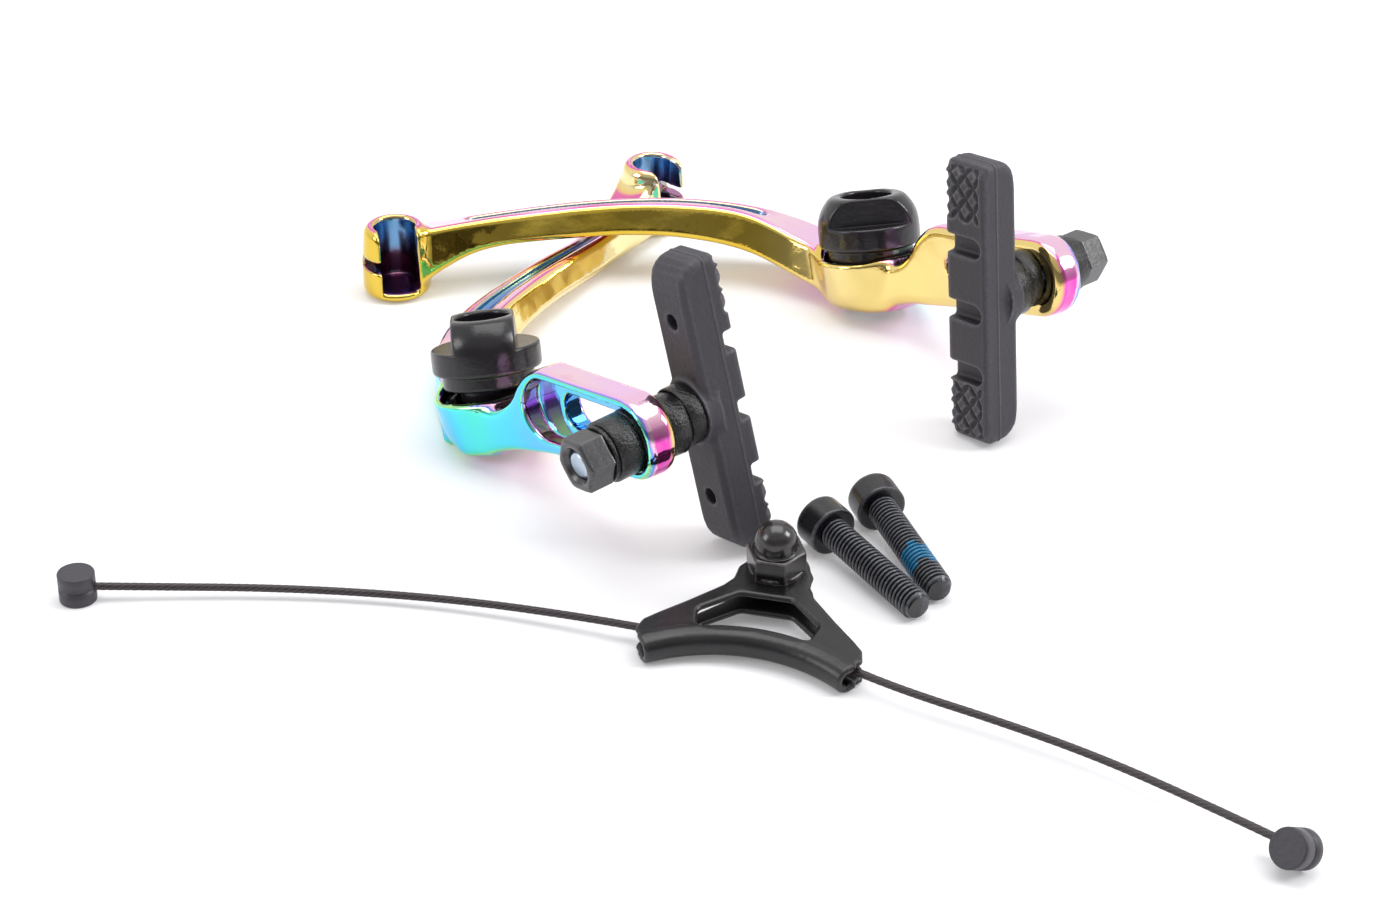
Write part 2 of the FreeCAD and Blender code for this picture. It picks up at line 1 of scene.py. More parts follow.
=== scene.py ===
import json
import math
import bpy
import numpy as np
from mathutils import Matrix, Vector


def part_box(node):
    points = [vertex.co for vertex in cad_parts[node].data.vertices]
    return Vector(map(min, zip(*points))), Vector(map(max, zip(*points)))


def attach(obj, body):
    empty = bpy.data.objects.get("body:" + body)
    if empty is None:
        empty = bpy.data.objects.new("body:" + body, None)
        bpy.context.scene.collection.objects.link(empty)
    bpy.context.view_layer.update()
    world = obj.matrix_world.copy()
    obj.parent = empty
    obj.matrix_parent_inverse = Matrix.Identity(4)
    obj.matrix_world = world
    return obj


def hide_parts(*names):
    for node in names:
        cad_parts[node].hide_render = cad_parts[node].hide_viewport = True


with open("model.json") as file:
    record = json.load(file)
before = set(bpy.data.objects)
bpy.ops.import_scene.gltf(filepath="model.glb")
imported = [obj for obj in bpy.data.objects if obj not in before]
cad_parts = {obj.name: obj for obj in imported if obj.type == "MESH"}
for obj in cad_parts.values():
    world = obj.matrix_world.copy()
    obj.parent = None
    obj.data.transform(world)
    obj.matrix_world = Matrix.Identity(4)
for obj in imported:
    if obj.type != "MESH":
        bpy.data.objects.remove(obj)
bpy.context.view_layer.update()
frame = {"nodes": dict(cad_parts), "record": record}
record = frame["record"]
bodyOf = {node: body for body, nodes in record["behaviour"]["bodies"].items() for node in nodes}
print("frame loaded,", len(frame["nodes"]), "nodes")

# Shapes are worked out in millimetres in each piece's own frame, then placed in the row frame in metres.

layout = {  # how each arm lies (turns about Z, Y, X), how its cap leans, how its pad's stud leans in the slot
    "left": {"turn": (5.57, -9.65, -11.01), "mirror": 1.0, "capLean": (5.0, -7.0), "capTurn": 0.0,
             "studShift": 0.0, "stud": (2.8, -3.25, 2.7), "grooveSide": -1.0},
    "right": {"turn": (62.6, 11.71, -12.04), "mirror": -1.0, "capLean": (0.0, 0.0), "capTurn": -26.0,
              "studShift": 2.4, "stud": (-6.0, 5.3, 9.2), "grooveSide": 1.0},
}


# Frames

def turnAbout(axis, degrees):
    c, s = math.cos(math.radians(degrees)), math.sin(math.radians(degrees))
    i, j = (axis + 1) % 3, (axis + 2) % 3
    turn = np.eye(3)
    turn[i, i] = turn[j, j] = c
    turn[i, j], turn[j, i] = -s, s
    return turn


def turns(yaw, pitch, roll):
    return turnAbout(2, yaw) @ turnAbout(1, pitch) @ turnAbout(0, roll)


def leaning(direction):  # the smallest turn that takes Z to a direction
    d = np.array(direction) / np.linalg.norm(direction)
    v = np.array([-d[1], d[0], 0.0])
    k = np.array([[0, -v[2], v[1]], [v[2], 0, -v[0]], [-v[1], v[0], 0]])
    return np.eye(3) + k + k @ k / (1.0 + d[2])


def mount(name):
    return next(m for m in record["mounts"] if m["name"] == name)


def armPlace(side):  # matrix and origin of an arm's own frame, in mm
    lay = layout[side]
    matrix = turns(*lay["turn"]) @ np.diag([lay["mirror"], 1.0, 1.0])
    bushMiddle = (armForm["bushTop"] + armForm["cupBottom"]) / 2.0
    origin = 1000.0 * np.array(mount(side + "_pivot")["pos_m"]) - matrix @ np.array([0, 0, bushMiddle])
    return matrix, origin


def studPlace(side, swivelled=True):  # frame of a pad's stud, X through the loop to the pad, Z along the pad
    lay = layout[side]
    matrix, origin = armPlace(side)
    out = turnAbout(2, armForm["loopAngle"]) @ np.array([armForm["studReach"] - lay["studShift"], 0, 0])
    seat = turnAbout(2, armForm["loopAngle"] + 90.0)
    if swivelled:
        seat = seat @ turns(*lay["stud"])
    return matrix @ seat, origin + matrix @ (out + np.array([0, 0, armForm["loopHeight"]]))


def capPlace(side):  # a cap leans about the middle of its skirt's lower edge, lifted clear of the cup
    lay = layout[side]
    matrix, origin = armPlace(side)
    lean = turns(0.0, *lay["capLean"])
    lift = capForm["skirt"] * math.sqrt(1.0 - lean[2, 2] ** 2)
    middle = np.array([0, 0, capForm["skirtBottom"]])
    turn = lean @ turnAbout(2, lay["capTurn"])
    return matrix @ turn, origin + matrix @ (middle + [0, 0, lift] - turn @ middle)


def nodeBox(node):  # lowest and highest corner of a CAD node, in mm
    return [1000.0 * np.array(corner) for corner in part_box(node)]


def stackPlace(node, matrix, axis, discs):  # origin that fits a stack of discs on an axis to a CAD node's box
    low, high = nodeBox(node)
    along = matrix[:, axis]
    at, radius = np.array(discs).T
    middle, spread = at[:, None] * along, radius[:, None] * np.sqrt(1.0 - along ** 2)
    return matrix, (low + high) / 2.0 - ((middle + spread).max(axis=0) + (middle - spread).min(axis=0)) / 2.0


def unit(rows):
    return rows / np.linalg.norm(rows, axis=1)[:, None]


def share(values):
    return np.clip(values, 0.0, 1.0)


def towards(values, goal, part):  # values moved part of the way to a goal
    return values + (goal - values) * part


# Solid forms as signed distances in mm: negative inside, smooth joins by blending two distances

def smoothMin(a, b, k):
    h = share(0.5 + 0.5 * (b - a) / k)
    return b + (a - b) * h - k * h * (1.0 - h)


def smoothMax(a, b, k):
    return -smoothMin(-a, -b, k)


def polygonDistance(x, y, corners):  # distance to the nearest edge, signed by counting crossed edges
    best = np.full(x.shape, 1e9)
    inside = np.zeros(x.shape, bool)
    for (ax, ay), (bx, by) in zip(corners, corners[1:] + corners[:1]):
        ex, ey = bx - ax, by - ay
        t = np.clip(((x - ax) * ex + (y - ay) * ey) / (ex * ex + ey * ey), 0.0, 1.0)
        best = np.minimum(best, (x - ax - ex * t) ** 2 + (y - ay - ey * t) ** 2)
        if abs(ey) > 1e-9:
            inside ^= ((ay <= y) != (by <= y)) & (x < ax + (y - ay) * ex / ey)
    return np.where(inside, -1.0, 1.0) * np.sqrt(best)


def roundedBar(a, b, halfA, halfB, radius):  # distance to a round-cornered rectangle
    qa, qb = np.abs(a) - halfA + radius, np.abs(b) - halfB + radius
    return np.hypot(np.maximum(qa, 0), np.maximum(qb, 0)) + np.minimum(np.maximum(qa, qb), 0) - radius


def hexDistance(a, b, flats):  # distance to a hexagon across its flats
    c, s = 0.5, math.sqrt(0.75)
    return np.maximum(np.abs(b), np.maximum(np.abs(s * a + c * b), np.abs(s * a - c * b))) - flats / 2.0


def splineTable(knots, values, samples):  # natural cubic spline through the knots, read at the samples
    knots, values = np.array(knots, float), np.array(values, float)
    h = np.diff(knots)
    n = len(knots)
    system, right = np.eye(n), np.zeros(n)
    for i in range(1, n - 1):
        system[i, i - 1:i + 2] = h[i - 1], 2 * (h[i - 1] + h[i]), h[i]
        right[i] = 6 * ((values[i + 1] - values[i]) / h[i] - (values[i] - values[i - 1]) / h[i - 1])
    m = np.linalg.solve(system, right)
    i = np.clip(np.searchsorted(knots, samples) - 1, 0, n - 2)
    a, b = knots[i + 1] - samples, samples - knots[i]
    return (m[i] * a ** 3 + m[i + 1] * b ** 3) / (6 * h[i]) + (values[i] / h[i] - m[i] * h[i] / 6) * a + (
        values[i + 1] / h[i] - m[i + 1] * h[i] / 6) * b


# Surfaces

def sampleField(field, low, counts, step, block=4):  # fine values only near the surface, coarse ones elsewhere
    blocks = -(-np.array(counts) // block)
    corner = [low[i] + step * block * np.arange(blocks[i] + 1) for i in range(3)]
    coarse = field(np.stack(np.meshgrid(*corner, indexing="ij"), axis=-1).reshape(-1, 3)).reshape(blocks + 1)
    nearest = np.full(blocks, 1e9)
    for i in (0, 1):
        for j in (0, 1):
            for k in (0, 1):
                part = coarse[i:i + blocks[0], j:j + blocks[1], k:k + blocks[2]]
                nearest = np.minimum(nearest, np.abs(part))
    near = nearest < 1.9 * step * block
    values = np.kron(coarse[:-1, :-1, :-1], np.ones((block, block, block)))
    mask = np.kron(near, np.ones((block, block, block), bool)).astype(bool)
    where = np.argwhere(mask)
    values[mask] = field(np.array(low) + step * where)
    return values


def surfaceNet(values, low, step):  # a vertex in each cell the surface crosses, a quad round each crossed edge
    inside = values < 0
    shape = np.array(values.shape) - 1
    corners = [(i, j, k) for i in (0, 1) for j in (0, 1) for k in (0, 1)]
    total = sum(inside[i:i + shape[0], j:j + shape[1], k:k + shape[2]].astype(np.int8) for i, j, k in corners)
    active = (total > 0) & (total < 8)
    cells = np.argwhere(active)
    index = np.full(shape, -1)
    index[active] = np.arange(len(cells))
    crossing, count = np.zeros((len(cells), 3)), np.zeros(len(cells))
    for a in corners:
        for axis in range(3):
            if a[axis] == 0:
                b = tuple(a[i] + (i == axis) for i in range(3))
                va, vb = values[tuple((cells + a).T)], values[tuple((cells + b).T)]
                cut = (va < 0) != (vb < 0)
                t = np.where(cut, va / np.where(cut, va - vb, 1.0), 0.0)
                crossing += cut[:, None] * (np.array(a) + t[:, None] * (np.array(b) - np.array(a)))
                count += cut
    points = np.array(low) + step * (cells + crossing / count[:, None])
    quads = []
    for axis in range(3):
        one, two = (axis + 1) % 3, (axis + 2) % 3
        edge = np.eye(3, dtype=int)[axis]
        lowEnd = tuple(slice(0, -1) if i == axis else slice(1, -1) for i in range(3))
        highEnd = tuple(slice(1, None) if i == axis else slice(1, -1) for i in range(3))
        at = np.argwhere(inside[lowEnd] != inside[highEnd]) + 1 - edge
        around = []
        for i, j in ((0, 0), (-1, 0), (-1, -1), (0, -1)):
            cell = at.copy()
            cell[:, one] += i
            cell[:, two] += j
            around.append(index[tuple(cell.T)])
        quad = np.stack(around, axis=1)
        outward = inside[tuple(at.T)]
        quads.append(np.where(outward[:, None], quad, quad[:, ::-1]))
    return points, np.concatenate(quads)


tetra = np.array([[1, -1, -1], [-1, -1, 1], [-1, 1, -1], [1, 1, 1]], float)


def slopeOf(field, points, reach):  # four samples round each point give the slope and the mean
    samples = [field(points + reach * t) for t in tetra]
    slope = sum(t[None, :] * f[:, None] for t, f in zip(tetra, samples)) / (4.0 * reach)
    return slope, sum(samples) / 4.0


def implicitForm(field, low, high, step):  # points, quads, normals and edge sharpness of a solid form
    low = np.array(low, float) - 2.0 * step
    counts = np.ceil((np.array(high) + 2.0 * step - low) / step).astype(int) + 1
    points, quads = surfaceNet(sampleField(field, low, counts, step), low, step)
    for _ in range(3):  # settle the points on the surface
        slope, value = slopeOf(field, points, 0.05 * step)
        move = np.clip(value / np.maximum((slope ** 2).sum(axis=1), 0.05), -0.5 * step, 0.5 * step)
        points = points - slope * move[:, None]
    slope, _ = slopeOf(field, points, 0.1 * step)
    normals = unit(slope)
    reach = 0.45
    # edge sharpness: positive on ridges, where the finishes wear, negative in creases, which the finishes darken
    # as painted shade
    edge = np.clip(slopeOf(field, points, reach / math.sqrt(3.0))[1] / reach * 3.0, -1.0, 1.0)
    return {"points": points, "quads": quads, "normals": normals, "edge": edge}


def gridForm(rows, closed):  # points joined row to row and closed round each row; flat faces end an open grid
    count, around = rows.shape[:2]
    i = np.arange(count if closed else count - 1)[:, None]
    j = np.arange(around)[None, :]
    nextI, nextJ = (i + 1) % count, (j + 1) % around
    quads = np.stack([i * around + j, i * around + nextJ, nextI * around + nextJ, nextI * around + j], axis=-1)
    first = np.arange(around)
    ends = [] if closed else [first[::-1], first + (count - 1) * around]
    return {"points": rows.reshape(-1, 3), "quads": quads.reshape(-1, 4), "ends": ends}


def roundedLoop(corners, radius, steps=5):  # a closed profile whose corners are parabolic fillets
    corners = np.array(corners, float)
    before, after = np.roll(corners, 1, axis=0) - corners, np.roll(corners, -1, axis=0) - corners
    lengthBefore, lengthAfter = np.linalg.norm(before, axis=1), np.linalg.norm(after, axis=1)
    reach = np.minimum(radius, 0.45 * np.minimum(lengthBefore, lengthAfter))
    start = corners + before / lengthBefore[:, None] * reach[:, None]
    end = corners + after / lengthAfter[:, None] * reach[:, None]
    t = np.linspace(0.0, 1.0, steps)[None, :, None]
    curve = start[:, None] * (1 - t) ** 2 + 2 * corners[:, None] * t * (1 - t) + end[:, None] * t ** 2
    return curve.reshape(-1, 2)


def lathe(profile, closed=True, segments=96):  # a profile (height along X, radius) turned about the X axis
    angle = np.linspace(0.0, 2.0 * math.pi, segments, endpoint=False)[None, :]
    x, r = profile[:, 0:1], profile[:, 1:2]
    rows = np.stack([x + 0 * angle, r * np.cos(angle), r * np.sin(angle)], axis=-1)
    return gridForm(rows, closed)


def threadForm(thread):  # radius falls by the thread's depth once a pitch, carried round as a helix
    turnsPerRod = (thread["end"] - thread["start"]) / thread["pitch"]
    x = np.linspace(thread["start"], thread["end"], int(turnsPerRod * 12) + 1)[:, None]
    angle = np.linspace(0.0, 2.0 * math.pi, 64, endpoint=False)[None, :]
    phase = x / thread["pitch"] - angle / (2.0 * math.pi)
    wave = 0.5 - 0.5 * np.cos(2.0 * math.pi * phase)
    crest = share(1.5 * wave - 0.1)
    taper = share(1.0 - (x - thread["start"]) / thread["chamfer"])
    radius = thread["radius"] - thread["depth"] * (1.0 - crest)
    radius = np.minimum(radius, thread["radius"] - 0.75 * taper)
    rows = np.stack([x + 0 * angle, radius * np.cos(angle), radius * np.sin(angle)], axis=-1)
    form = gridForm(rows, closed=False)
    # edge: positive on the crests, where the finish wears, negative in the valleys, which are darkened as painted
    # shade
    form["edge"] = (1.7 * crest - 1.0).ravel()
    return form


def joined(first, second):
    start = len(first["points"])
    return {"points": np.concatenate([first["points"], second["points"]]),
            "quads": np.concatenate([first["quads"], second["quads"] + start]),
            "edge": np.concatenate([first["edge"], second["edge"]]), "ends": first["ends"]}


def facedOutward(points, quads, ends):  # turn every face round if the closed form encloses a negative volume
    a, b, c, d = (points[quads[:, i]] for i in range(4))
    volume = np.einsum("ij,ij->i", a, np.cross(b, c)).sum() + np.einsum("ij,ij->i", a, np.cross(c, d)).sum()
    return (quads, ends) if volume > 0 else (quads[:, ::-1], [end[::-1] for end in ends])


def pieceName(node):  # left_arm becomes leftArm
    first, *rest = ("straddle_yoke" if node == "yoke" else node).split("_")
    return first + "".join(word.title() for word in rest)


def makePiece(node, form, place, finish, attributes=None):  # a mesh in the row frame that stands for a CAD node
    matrix, origin = place
    name = pieceName(node)
    points = (form["points"] @ matrix.T + origin) / 1000.0
    quads, ends = facedOutward(points, form["quads"], form.get("ends", []))
    corners = np.concatenate([quads.ravel(), *ends]).astype(np.int32)
    sizes = np.array([4] * len(quads) + [len(end) for end in ends])
    mesh = bpy.data.meshes.new(name)
    mesh.vertices.add(len(points))
    mesh.vertices.foreach_set("co", points.astype(np.float32).ravel())
    mesh.loops.add(len(corners))
    mesh.loops.foreach_set("vertex_index", corners)
    mesh.polygons.add(len(sizes))
    mesh.polygons.foreach_set("loop_start", (np.cumsum(sizes) - sizes).astype(np.int32))
    mesh.update(calc_edges=True)
    mesh.polygons.foreach_set("use_smooth", sizes == 4)
    values = dict(attributes or {})
    values["edge"] = form.get("edge", np.zeros(len(points)))
    for key, value in values.items():
        layer = mesh.attributes.new(key, "FLOAT", "POINT")
        layer.data.foreach_set("value", value.astype(np.float32))
    mesh.validate()
    if "normals" in form:
        mesh.normals_split_custom_set_from_vertices((form["normals"] @ matrix.T).tolist())
    piece = bpy.data.objects.new(name, mesh)
    bpy.context.scene.collection.objects.link(piece)
    mesh.materials.append(materials[finish])
    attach(piece, bodyOf[node])
    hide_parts(node)
    return piece


# Materials

def linear(*colour):  # colours are written as they should look on screen
    return tuple(c / 12.92 if c <= 0.04045 else ((c + 0.055) / 1.055) ** 2.4 for c in colour) + (1.0,)


def addNode(tree, kind, **inputs):
    made = tree.nodes.new(kind)
    for key, value in inputs.items():
        made.inputs[key.replace("_", " ")].default_value = value
    return made


def feed(tree, socket, value):  # a link from another node's output, or a plain value
    if hasattr(value, "links"):
        tree.links.new(value, socket)
    else:
        socket.default_value = value


def mathNode(tree, operation, *values):
    made = tree.nodes.new("ShaderNodeMath")
    made.operation = operation
    for socket, value in zip(made.inputs, values):
        feed(tree, socket, value)
    return made.outputs[0]


def mixColour(tree, factor, first, second):
    made = tree.nodes.new("ShaderNodeMix")
    made.data_type = "RGBA"
    for socket, value in zip((made.inputs[0], made.inputs[6], made.inputs[7]), (factor, first, second)):
        feed(tree, socket, value)
    return made.outputs[2]


def colourRamp(tree, factor, stops):
    made = tree.nodes.new("ShaderNodeValToRGB")
    ramp = made.color_ramp
    while len(ramp.elements) < len(stops):
        ramp.elements.new(0.5)
    for element, (position, colour) in zip(ramp.elements, stops):
        element.position = position
        element.color = colour
    tree.links.new(factor, made.inputs[0])
    return made.outputs[0]


def attributeNode(tree, name):
    made = tree.nodes.new("ShaderNodeAttribute")
    made.attribute_name = name
    return made.outputs["Fac"]


def objectNoise(tree, scale, detail=4.0):
    coordinates = tree.nodes.new("ShaderNodeTexCoord")
    noise = addNode(tree, "ShaderNodeTexNoise", Detail=detail)
    feed(tree, noise.inputs["Scale"], scale)
    tree.links.new(coordinates.outputs["Object"], noise.inputs["Vector"])
    return noise.outputs["Fac"]


def newMaterial(name):
    material = bpy.data.materials.new(name)
    material.use_nodes = True
    return material, material.node_tree, material.node_tree.nodes["Principled BSDF"]


finishInputs = {
    "Color": "NodeSocketColor", "Wear Color": "NodeSocketColor", "Wear": "NodeSocketFloat",
    "Roughness": "NodeSocketFloat", "Grain Scale": "NodeSocketFloat", "Grain Height": "NodeSocketFloat",
}
finishOutputs = {"Color": "NodeSocketColor", "Roughness": "NodeSocketFloat", "Normal": "NodeSocketVector"}


def finishAndCreaseShadeGroup():  # grain, edge wear and painted shade in creases, shared by the painted, plated and moulded finishes
    group = bpy.data.node_groups.new("surfaceFinish", "ShaderNodeTree")
    for way, sockets in (("INPUT", finishInputs), ("OUTPUT", finishOutputs)):
        for name, kind in sockets.items():
            group.interface.new_socket(name, in_out=way, socket_type=kind)
    given, out = group.nodes.new("NodeGroupInput"), group.nodes.new("NodeGroupOutput")
    grain = objectNoise(group, given.outputs["Grain Scale"])
    patches = objectNoise(group, 160.0, 3.0)
    flecks = objectNoise(group, 1400.0, 2.0)
    edge = mathNode(group, "MAXIMUM", attributeNode(group, "edge"), 0.0)
    rubbed = mathNode(group, "MULTIPLY", mathNode(group, "MULTIPLY", edge, given.outputs["Wear"]), flecks)
    worn = mathNode(group, "MINIMUM", mathNode(group, "MULTIPLY", rubbed, 1.8), 1.0)
    # creases, where the edge attribute is negative, darken the colour: painted shade
    crease = mathNode(group, "MINIMUM", attributeNode(group, "edge"), 0.0)
    paintedCreaseShade = mathNode(group, "MULTIPLY_ADD", crease, 0.6, 1.0)
    shade = mathNode(group, "MULTIPLY", mathNode(group, "MULTIPLY_ADD", patches, 0.35, 0.825), paintedCreaseShade)
    tinted = group.nodes.new("ShaderNodeVectorMath")
    tinted.operation = "SCALE"
    group.links.new(given.outputs["Color"], tinted.inputs[0])
    group.links.new(shade, tinted.inputs["Scale"])
    group.links.new(mixColour(group, worn, tinted.outputs[0], given.outputs["Wear Color"]), out.inputs["Color"])
    rough = mathNode(group, "SUBTRACT", given.outputs["Roughness"], 0.08)
    group.links.new(mathNode(group, "MULTIPLY_ADD", patches, 0.16, rough), out.inputs["Roughness"])
    bump = addNode(group, "ShaderNodeBump", Strength=1.0)
    group.links.new(given.outputs["Grain Height"], bump.inputs["Distance"])
    group.links.new(grain, bump.inputs["Height"])
    group.links.new(bump.outputs[0], out.inputs["Normal"])
    return group


surfaceFinish = finishAndCreaseShadeGroup()


def finishMaterial(name, look):
    material, tree, shader = newMaterial(name)
    group = tree.nodes.new("ShaderNodeGroup")
    group.node_tree = surfaceFinish
    colour, wornColour, *values, metallic, specular = look
    for key, value in zip(finishInputs, (linear(*colour), linear(*wornColour), *values)):
        group.inputs[key].default_value = value
    shader.inputs["Metallic"].default_value = metallic
    shader.inputs["Specular IOR Level"].default_value = specular
    for key, socket in zip(finishOutputs, ("Base Color", "Roughness", "Normal")):
        tree.links.new(group.outputs[key], shader.inputs[socket])
    return material


# Each finish: colour and worn colour as seen, wear from 0 to 1, roughness, grain scale per metre and grain height
# in metres, metallic, specular level

finishes = {
    "capPlastic": ((0.105, 0.095, 0.11), (0.3, 0.29, 0.31), 0.25, 0.22, 900.0, 0.00006, 0.0, 0.5),
    "washerPaint": ((0.07, 0.065, 0.075), (0.3, 0.3, 0.3), 0.5, 0.24, 2000.0, 0.00022, 0.0, 0.5),
    "nutPaint": ((0.13, 0.125, 0.14), (0.4, 0.39, 0.41), 0.6, 0.26, 700.0, 0.00005, 0.0, 0.8),
    "studSteel": ((0.66, 0.72, 0.78), (0.85, 0.9, 0.94), 0.6, 0.3, 1200.0, 0.00005, 1.0, 0.5),
    "padRubber": ((0.205, 0.195, 0.22), (0.45, 0.44, 0.46), 0.8, 0.54, 1100.0, 0.00014, 0.0, 0.5),
    "yokePaint": ((0.06, 0.056, 0.065), (0.34, 0.33, 0.35), 0.4, 0.32, 800.0, 0.00006, 0.0, 0.5),
    "domeGloss": ((0.07, 0.062, 0.07), (0.5, 0.46, 0.45), 0.6, 0.22, 500.0, 0.00002, 0.0, 0.7),
    "barrelPaint": ((0.22, 0.21, 0.235), (0.46, 0.45, 0.48), 0.5, 0.46, 1000.0, 0.00008, 0.0, 0.5),
    "boltOxide": ((0.045, 0.043, 0.055), (0.45, 0.46, 0.5), 0.6, 0.27, 900.0, 0.00004, 0.0, 0.6),
    "bushBronze": ((0.62, 0.5, 0.3), (0.8, 0.7, 0.5), 0.4, 0.38, 900.0, 0.00004, 1.0, 0.5),
    "springSteel": ((0.32, 0.32, 0.33), (0.6, 0.6, 0.6), 0.4, 0.35, 900.0, 0.00004, 1.0, 0.5),
    "cableStrand": ((0.17, 0.14, 0.15), (0.42, 0.38, 0.4), 0.7, 0.42, 1500.0, 0.00005, 0.0, 0.5),
}
materials = {name: finishMaterial(name, look) for name, look in finishes.items()}

filmColours = [  # interference colours from the arm's inner side, over its top, to its outer side
    (0.00, linear(0.84, 0.71, 0.24)), (0.18, linear(0.90, 0.79, 0.38)), (0.27, linear(0.95, 0.74, 0.50)),
    (0.36, linear(0.88, 0.30, 0.72)), (0.44, linear(0.96, 0.80, 0.86)), (0.52, linear(0.94, 0.74, 0.94)),
    (0.60, linear(0.60, 0.52, 0.95)), (0.67, linear(0.30, 0.66, 0.90)), (0.74, linear(0.70, 0.93, 0.54)),
    (0.81, linear(0.36, 0.90, 0.84)), (0.90, linear(0.36, 0.84, 0.96)), (1.00, linear(0.48, 0.72, 1.0)),
]
# blue film inside the cradle's pocket, groove and slit (high); the low colour, a dark purple towards the pocket's
# bottom, is painted shade
pocketFilmAndShade = {"high": linear(0.26, 0.56, 0.80), "low": linear(0.34, 0.14, 0.42)}


def filmMaterial():  # polished metal under a rainbow film whose place in the colours is worked out on the mesh
    material, tree, shader = newMaterial("oilSlickFilm")
    film = mathNode(tree, "SUBTRACT", attributeNode(tree, "film"), 0.03)
    drift = mathNode(tree, "MULTIPLY_ADD", objectNoise(tree, 90.0, 2.0), 0.06, film)
    colour = colourRamp(tree, drift, filmColours)
    straw = mixColour(tree, attributeNode(tree, "pale"), colour, linear(1.0, 0.95, 0.80))
    # the pocket darkens towards its bottom by the low attribute: painted shade
    inside = mixColour(tree, attributeNode(tree, "low"), pocketFilmAndShade["high"], pocketFilmAndShade["low"])
    deep = mixColour(tree, attributeNode(tree, "pocket"), straw, inside)
    tree.links.new(deep, shader.inputs["Base Color"])
    shader.inputs["Metallic"].default_value = 1.0
    rough = mathNode(tree, "MULTIPLY_ADD", objectNoise(tree, 260.0, 3.0), 0.05, 0.05)
    blurred = mathNode(tree, "MULTIPLY", attributeNode(tree, "pocket"), 0.16)
    tree.links.new(mathNode(tree, "ADD", rough, blurred), shader.inputs["Roughness"])
    swell = addNode(tree, "ShaderNodeBump", Strength=1.0, Distance=0.0004)  # forged waviness under a fine grain
    tree.links.new(objectNoise(tree, 110.0, 1.0), swell.inputs["Height"])
    bump = addNode(tree, "ShaderNodeBump", Strength=1.0, Distance=0.00003)
    tree.links.new(objectNoise(tree, 420.0, 2.0), bump.inputs["Height"])
    tree.links.new(swell.outputs[0], bump.inputs["Normal"])
    tree.links.new(bump.outputs[0], shader.inputs["Normal"])
    return material


materials["film"] = filmMaterial()
print("materials made:", len(materials))


# Brake arms: cup, slotted plate, swept lever and leaning cradle blended into one forging

armForm = {
    "cupRadius": 12.0, "cupFoot": 10.8, "cupBottom": -1.8, "cupRim": 9.2, "cupFloor": 2.2, "cupBore": 9.9,
    "bushRadius": 6.4, "bushTop": 5.6,
    "loopAngle": -61.2, "studReach": 59.5, "loopHeight": 10.8, "rootLow": 10.0, "rootHigh": 8.3, "endHalf": 8.3,
    "outerFace": -3.2, "recessFloor": -0.4, "innerFace": 4.0, "faceStart": 27.5,
    "recessHalf": 6.45, "recessStart": 22.4, "slotHalf": 3.6, "slotStart": 31.5,
    "cradleCentre": (40.2, 98.0, 17.0), "cradleLean": (0.19, -0.195, 0.962), "mouthAngle": -41.0,
    "cradleHeight": 16.6, "cradleRadius": 7.6, "cradleBore": 4.4, "cradleFloor": 2.2, "slit": 2.3,
    "grooveDepth": 1.9, "grooveWidth": 0.17, "cornerRadius": 1.6, "draft": 0.2, "blend": 3.4, "step": 0.55,
}
leverPlan = [  # x, y, width, depth along the lever from the cup to the cradle
    (-3.0, 3.0, 15.0, 9.8), (-4.8, 15.5, 15.0, 9.1), (-4.4, 27.0, 13.4, 9.0), (0.2, 39.5, 11.4, 8.2),
    (8.4, 54.6, 10.4, 7.2), (19.4, 72.0, 10.0, 6.8), (29.6, 85.4, 10.0, 7.6), (37.4, 95.0, 11.5, 12.4),
]
leverHeights = {
    "left": [3.8, 6.0, 8.8, 10.9, 11.6, 11.3, 12.4, 15.8],
    "right": [3.8, 8.4, 13.2, 17.2, 19.8, 20.5, 19.7, 16.8],
}


def leverTables(side):  # the lever's line and section as smooth functions of its length
    plan = np.array(leverPlan)
    run = np.concatenate([[0.0], np.cumsum(np.hypot(*np.diff(plan[:, :2], axis=0).T))])
    t = np.linspace(0.0, run[-1], 700)
    columns = [plan[:, 0], plan[:, 1], plan[:, 2] / 2.0, plan[:, 3] / 2.0, np.array(leverHeights[side])]
    x, y, halfWidth, halfDepth, height = (splineTable(run, c, t) for c in columns)
    dx, dy = np.gradient(x, t), np.gradient(y, t)
    size = np.hypot(dx, dy)
    return {"t": t, "x": x, "y": y, "dx": dx / size, "dy": dy / size, "halfWidth": halfWidth,
            "halfDepth": halfDepth, "height": height, "knots": run}


def alongLever(px, py, lever):  # place along the lever nearest to each point, and how far to its right
    best, t = np.full(px.shape, 1e9), np.zeros(px.shape)
    for i in range(0, len(lever["t"]), 20):
        distance = (px - lever["x"][i]) ** 2 + (py - lever["y"][i]) ** 2
        closer = distance < best
        best, t = np.where(closer, distance, best), np.where(closer, lever["t"][i], t)
    for _ in range(4):
        x, y, dx, dy = (np.interp(t, lever["t"], lever[k]) for k in ("x", "y", "dx", "dy"))
        t = np.clip(t + (px - x) * dx + (py - y) * dy, 0.0, lever["t"][-1])
    x, y, dx, dy = (np.interp(t, lever["t"], lever[k]) for k in ("x", "y", "dx", "dy"))
    beyond = np.abs((px - x) * dx + (py - y) * dy)
    return t, (px - x) * dy - (py - y) * dx, beyond


def loopAxes(points):  # u out from the pivot along the loop, s through it to the pad side
    c, s = math.cos(math.radians(armForm["loopAngle"])), math.sin(math.radians(armForm["loopAngle"]))
    return points[:, 0] * c + points[:, 1] * s, points[:, 1] * c - points[:, 0] * s


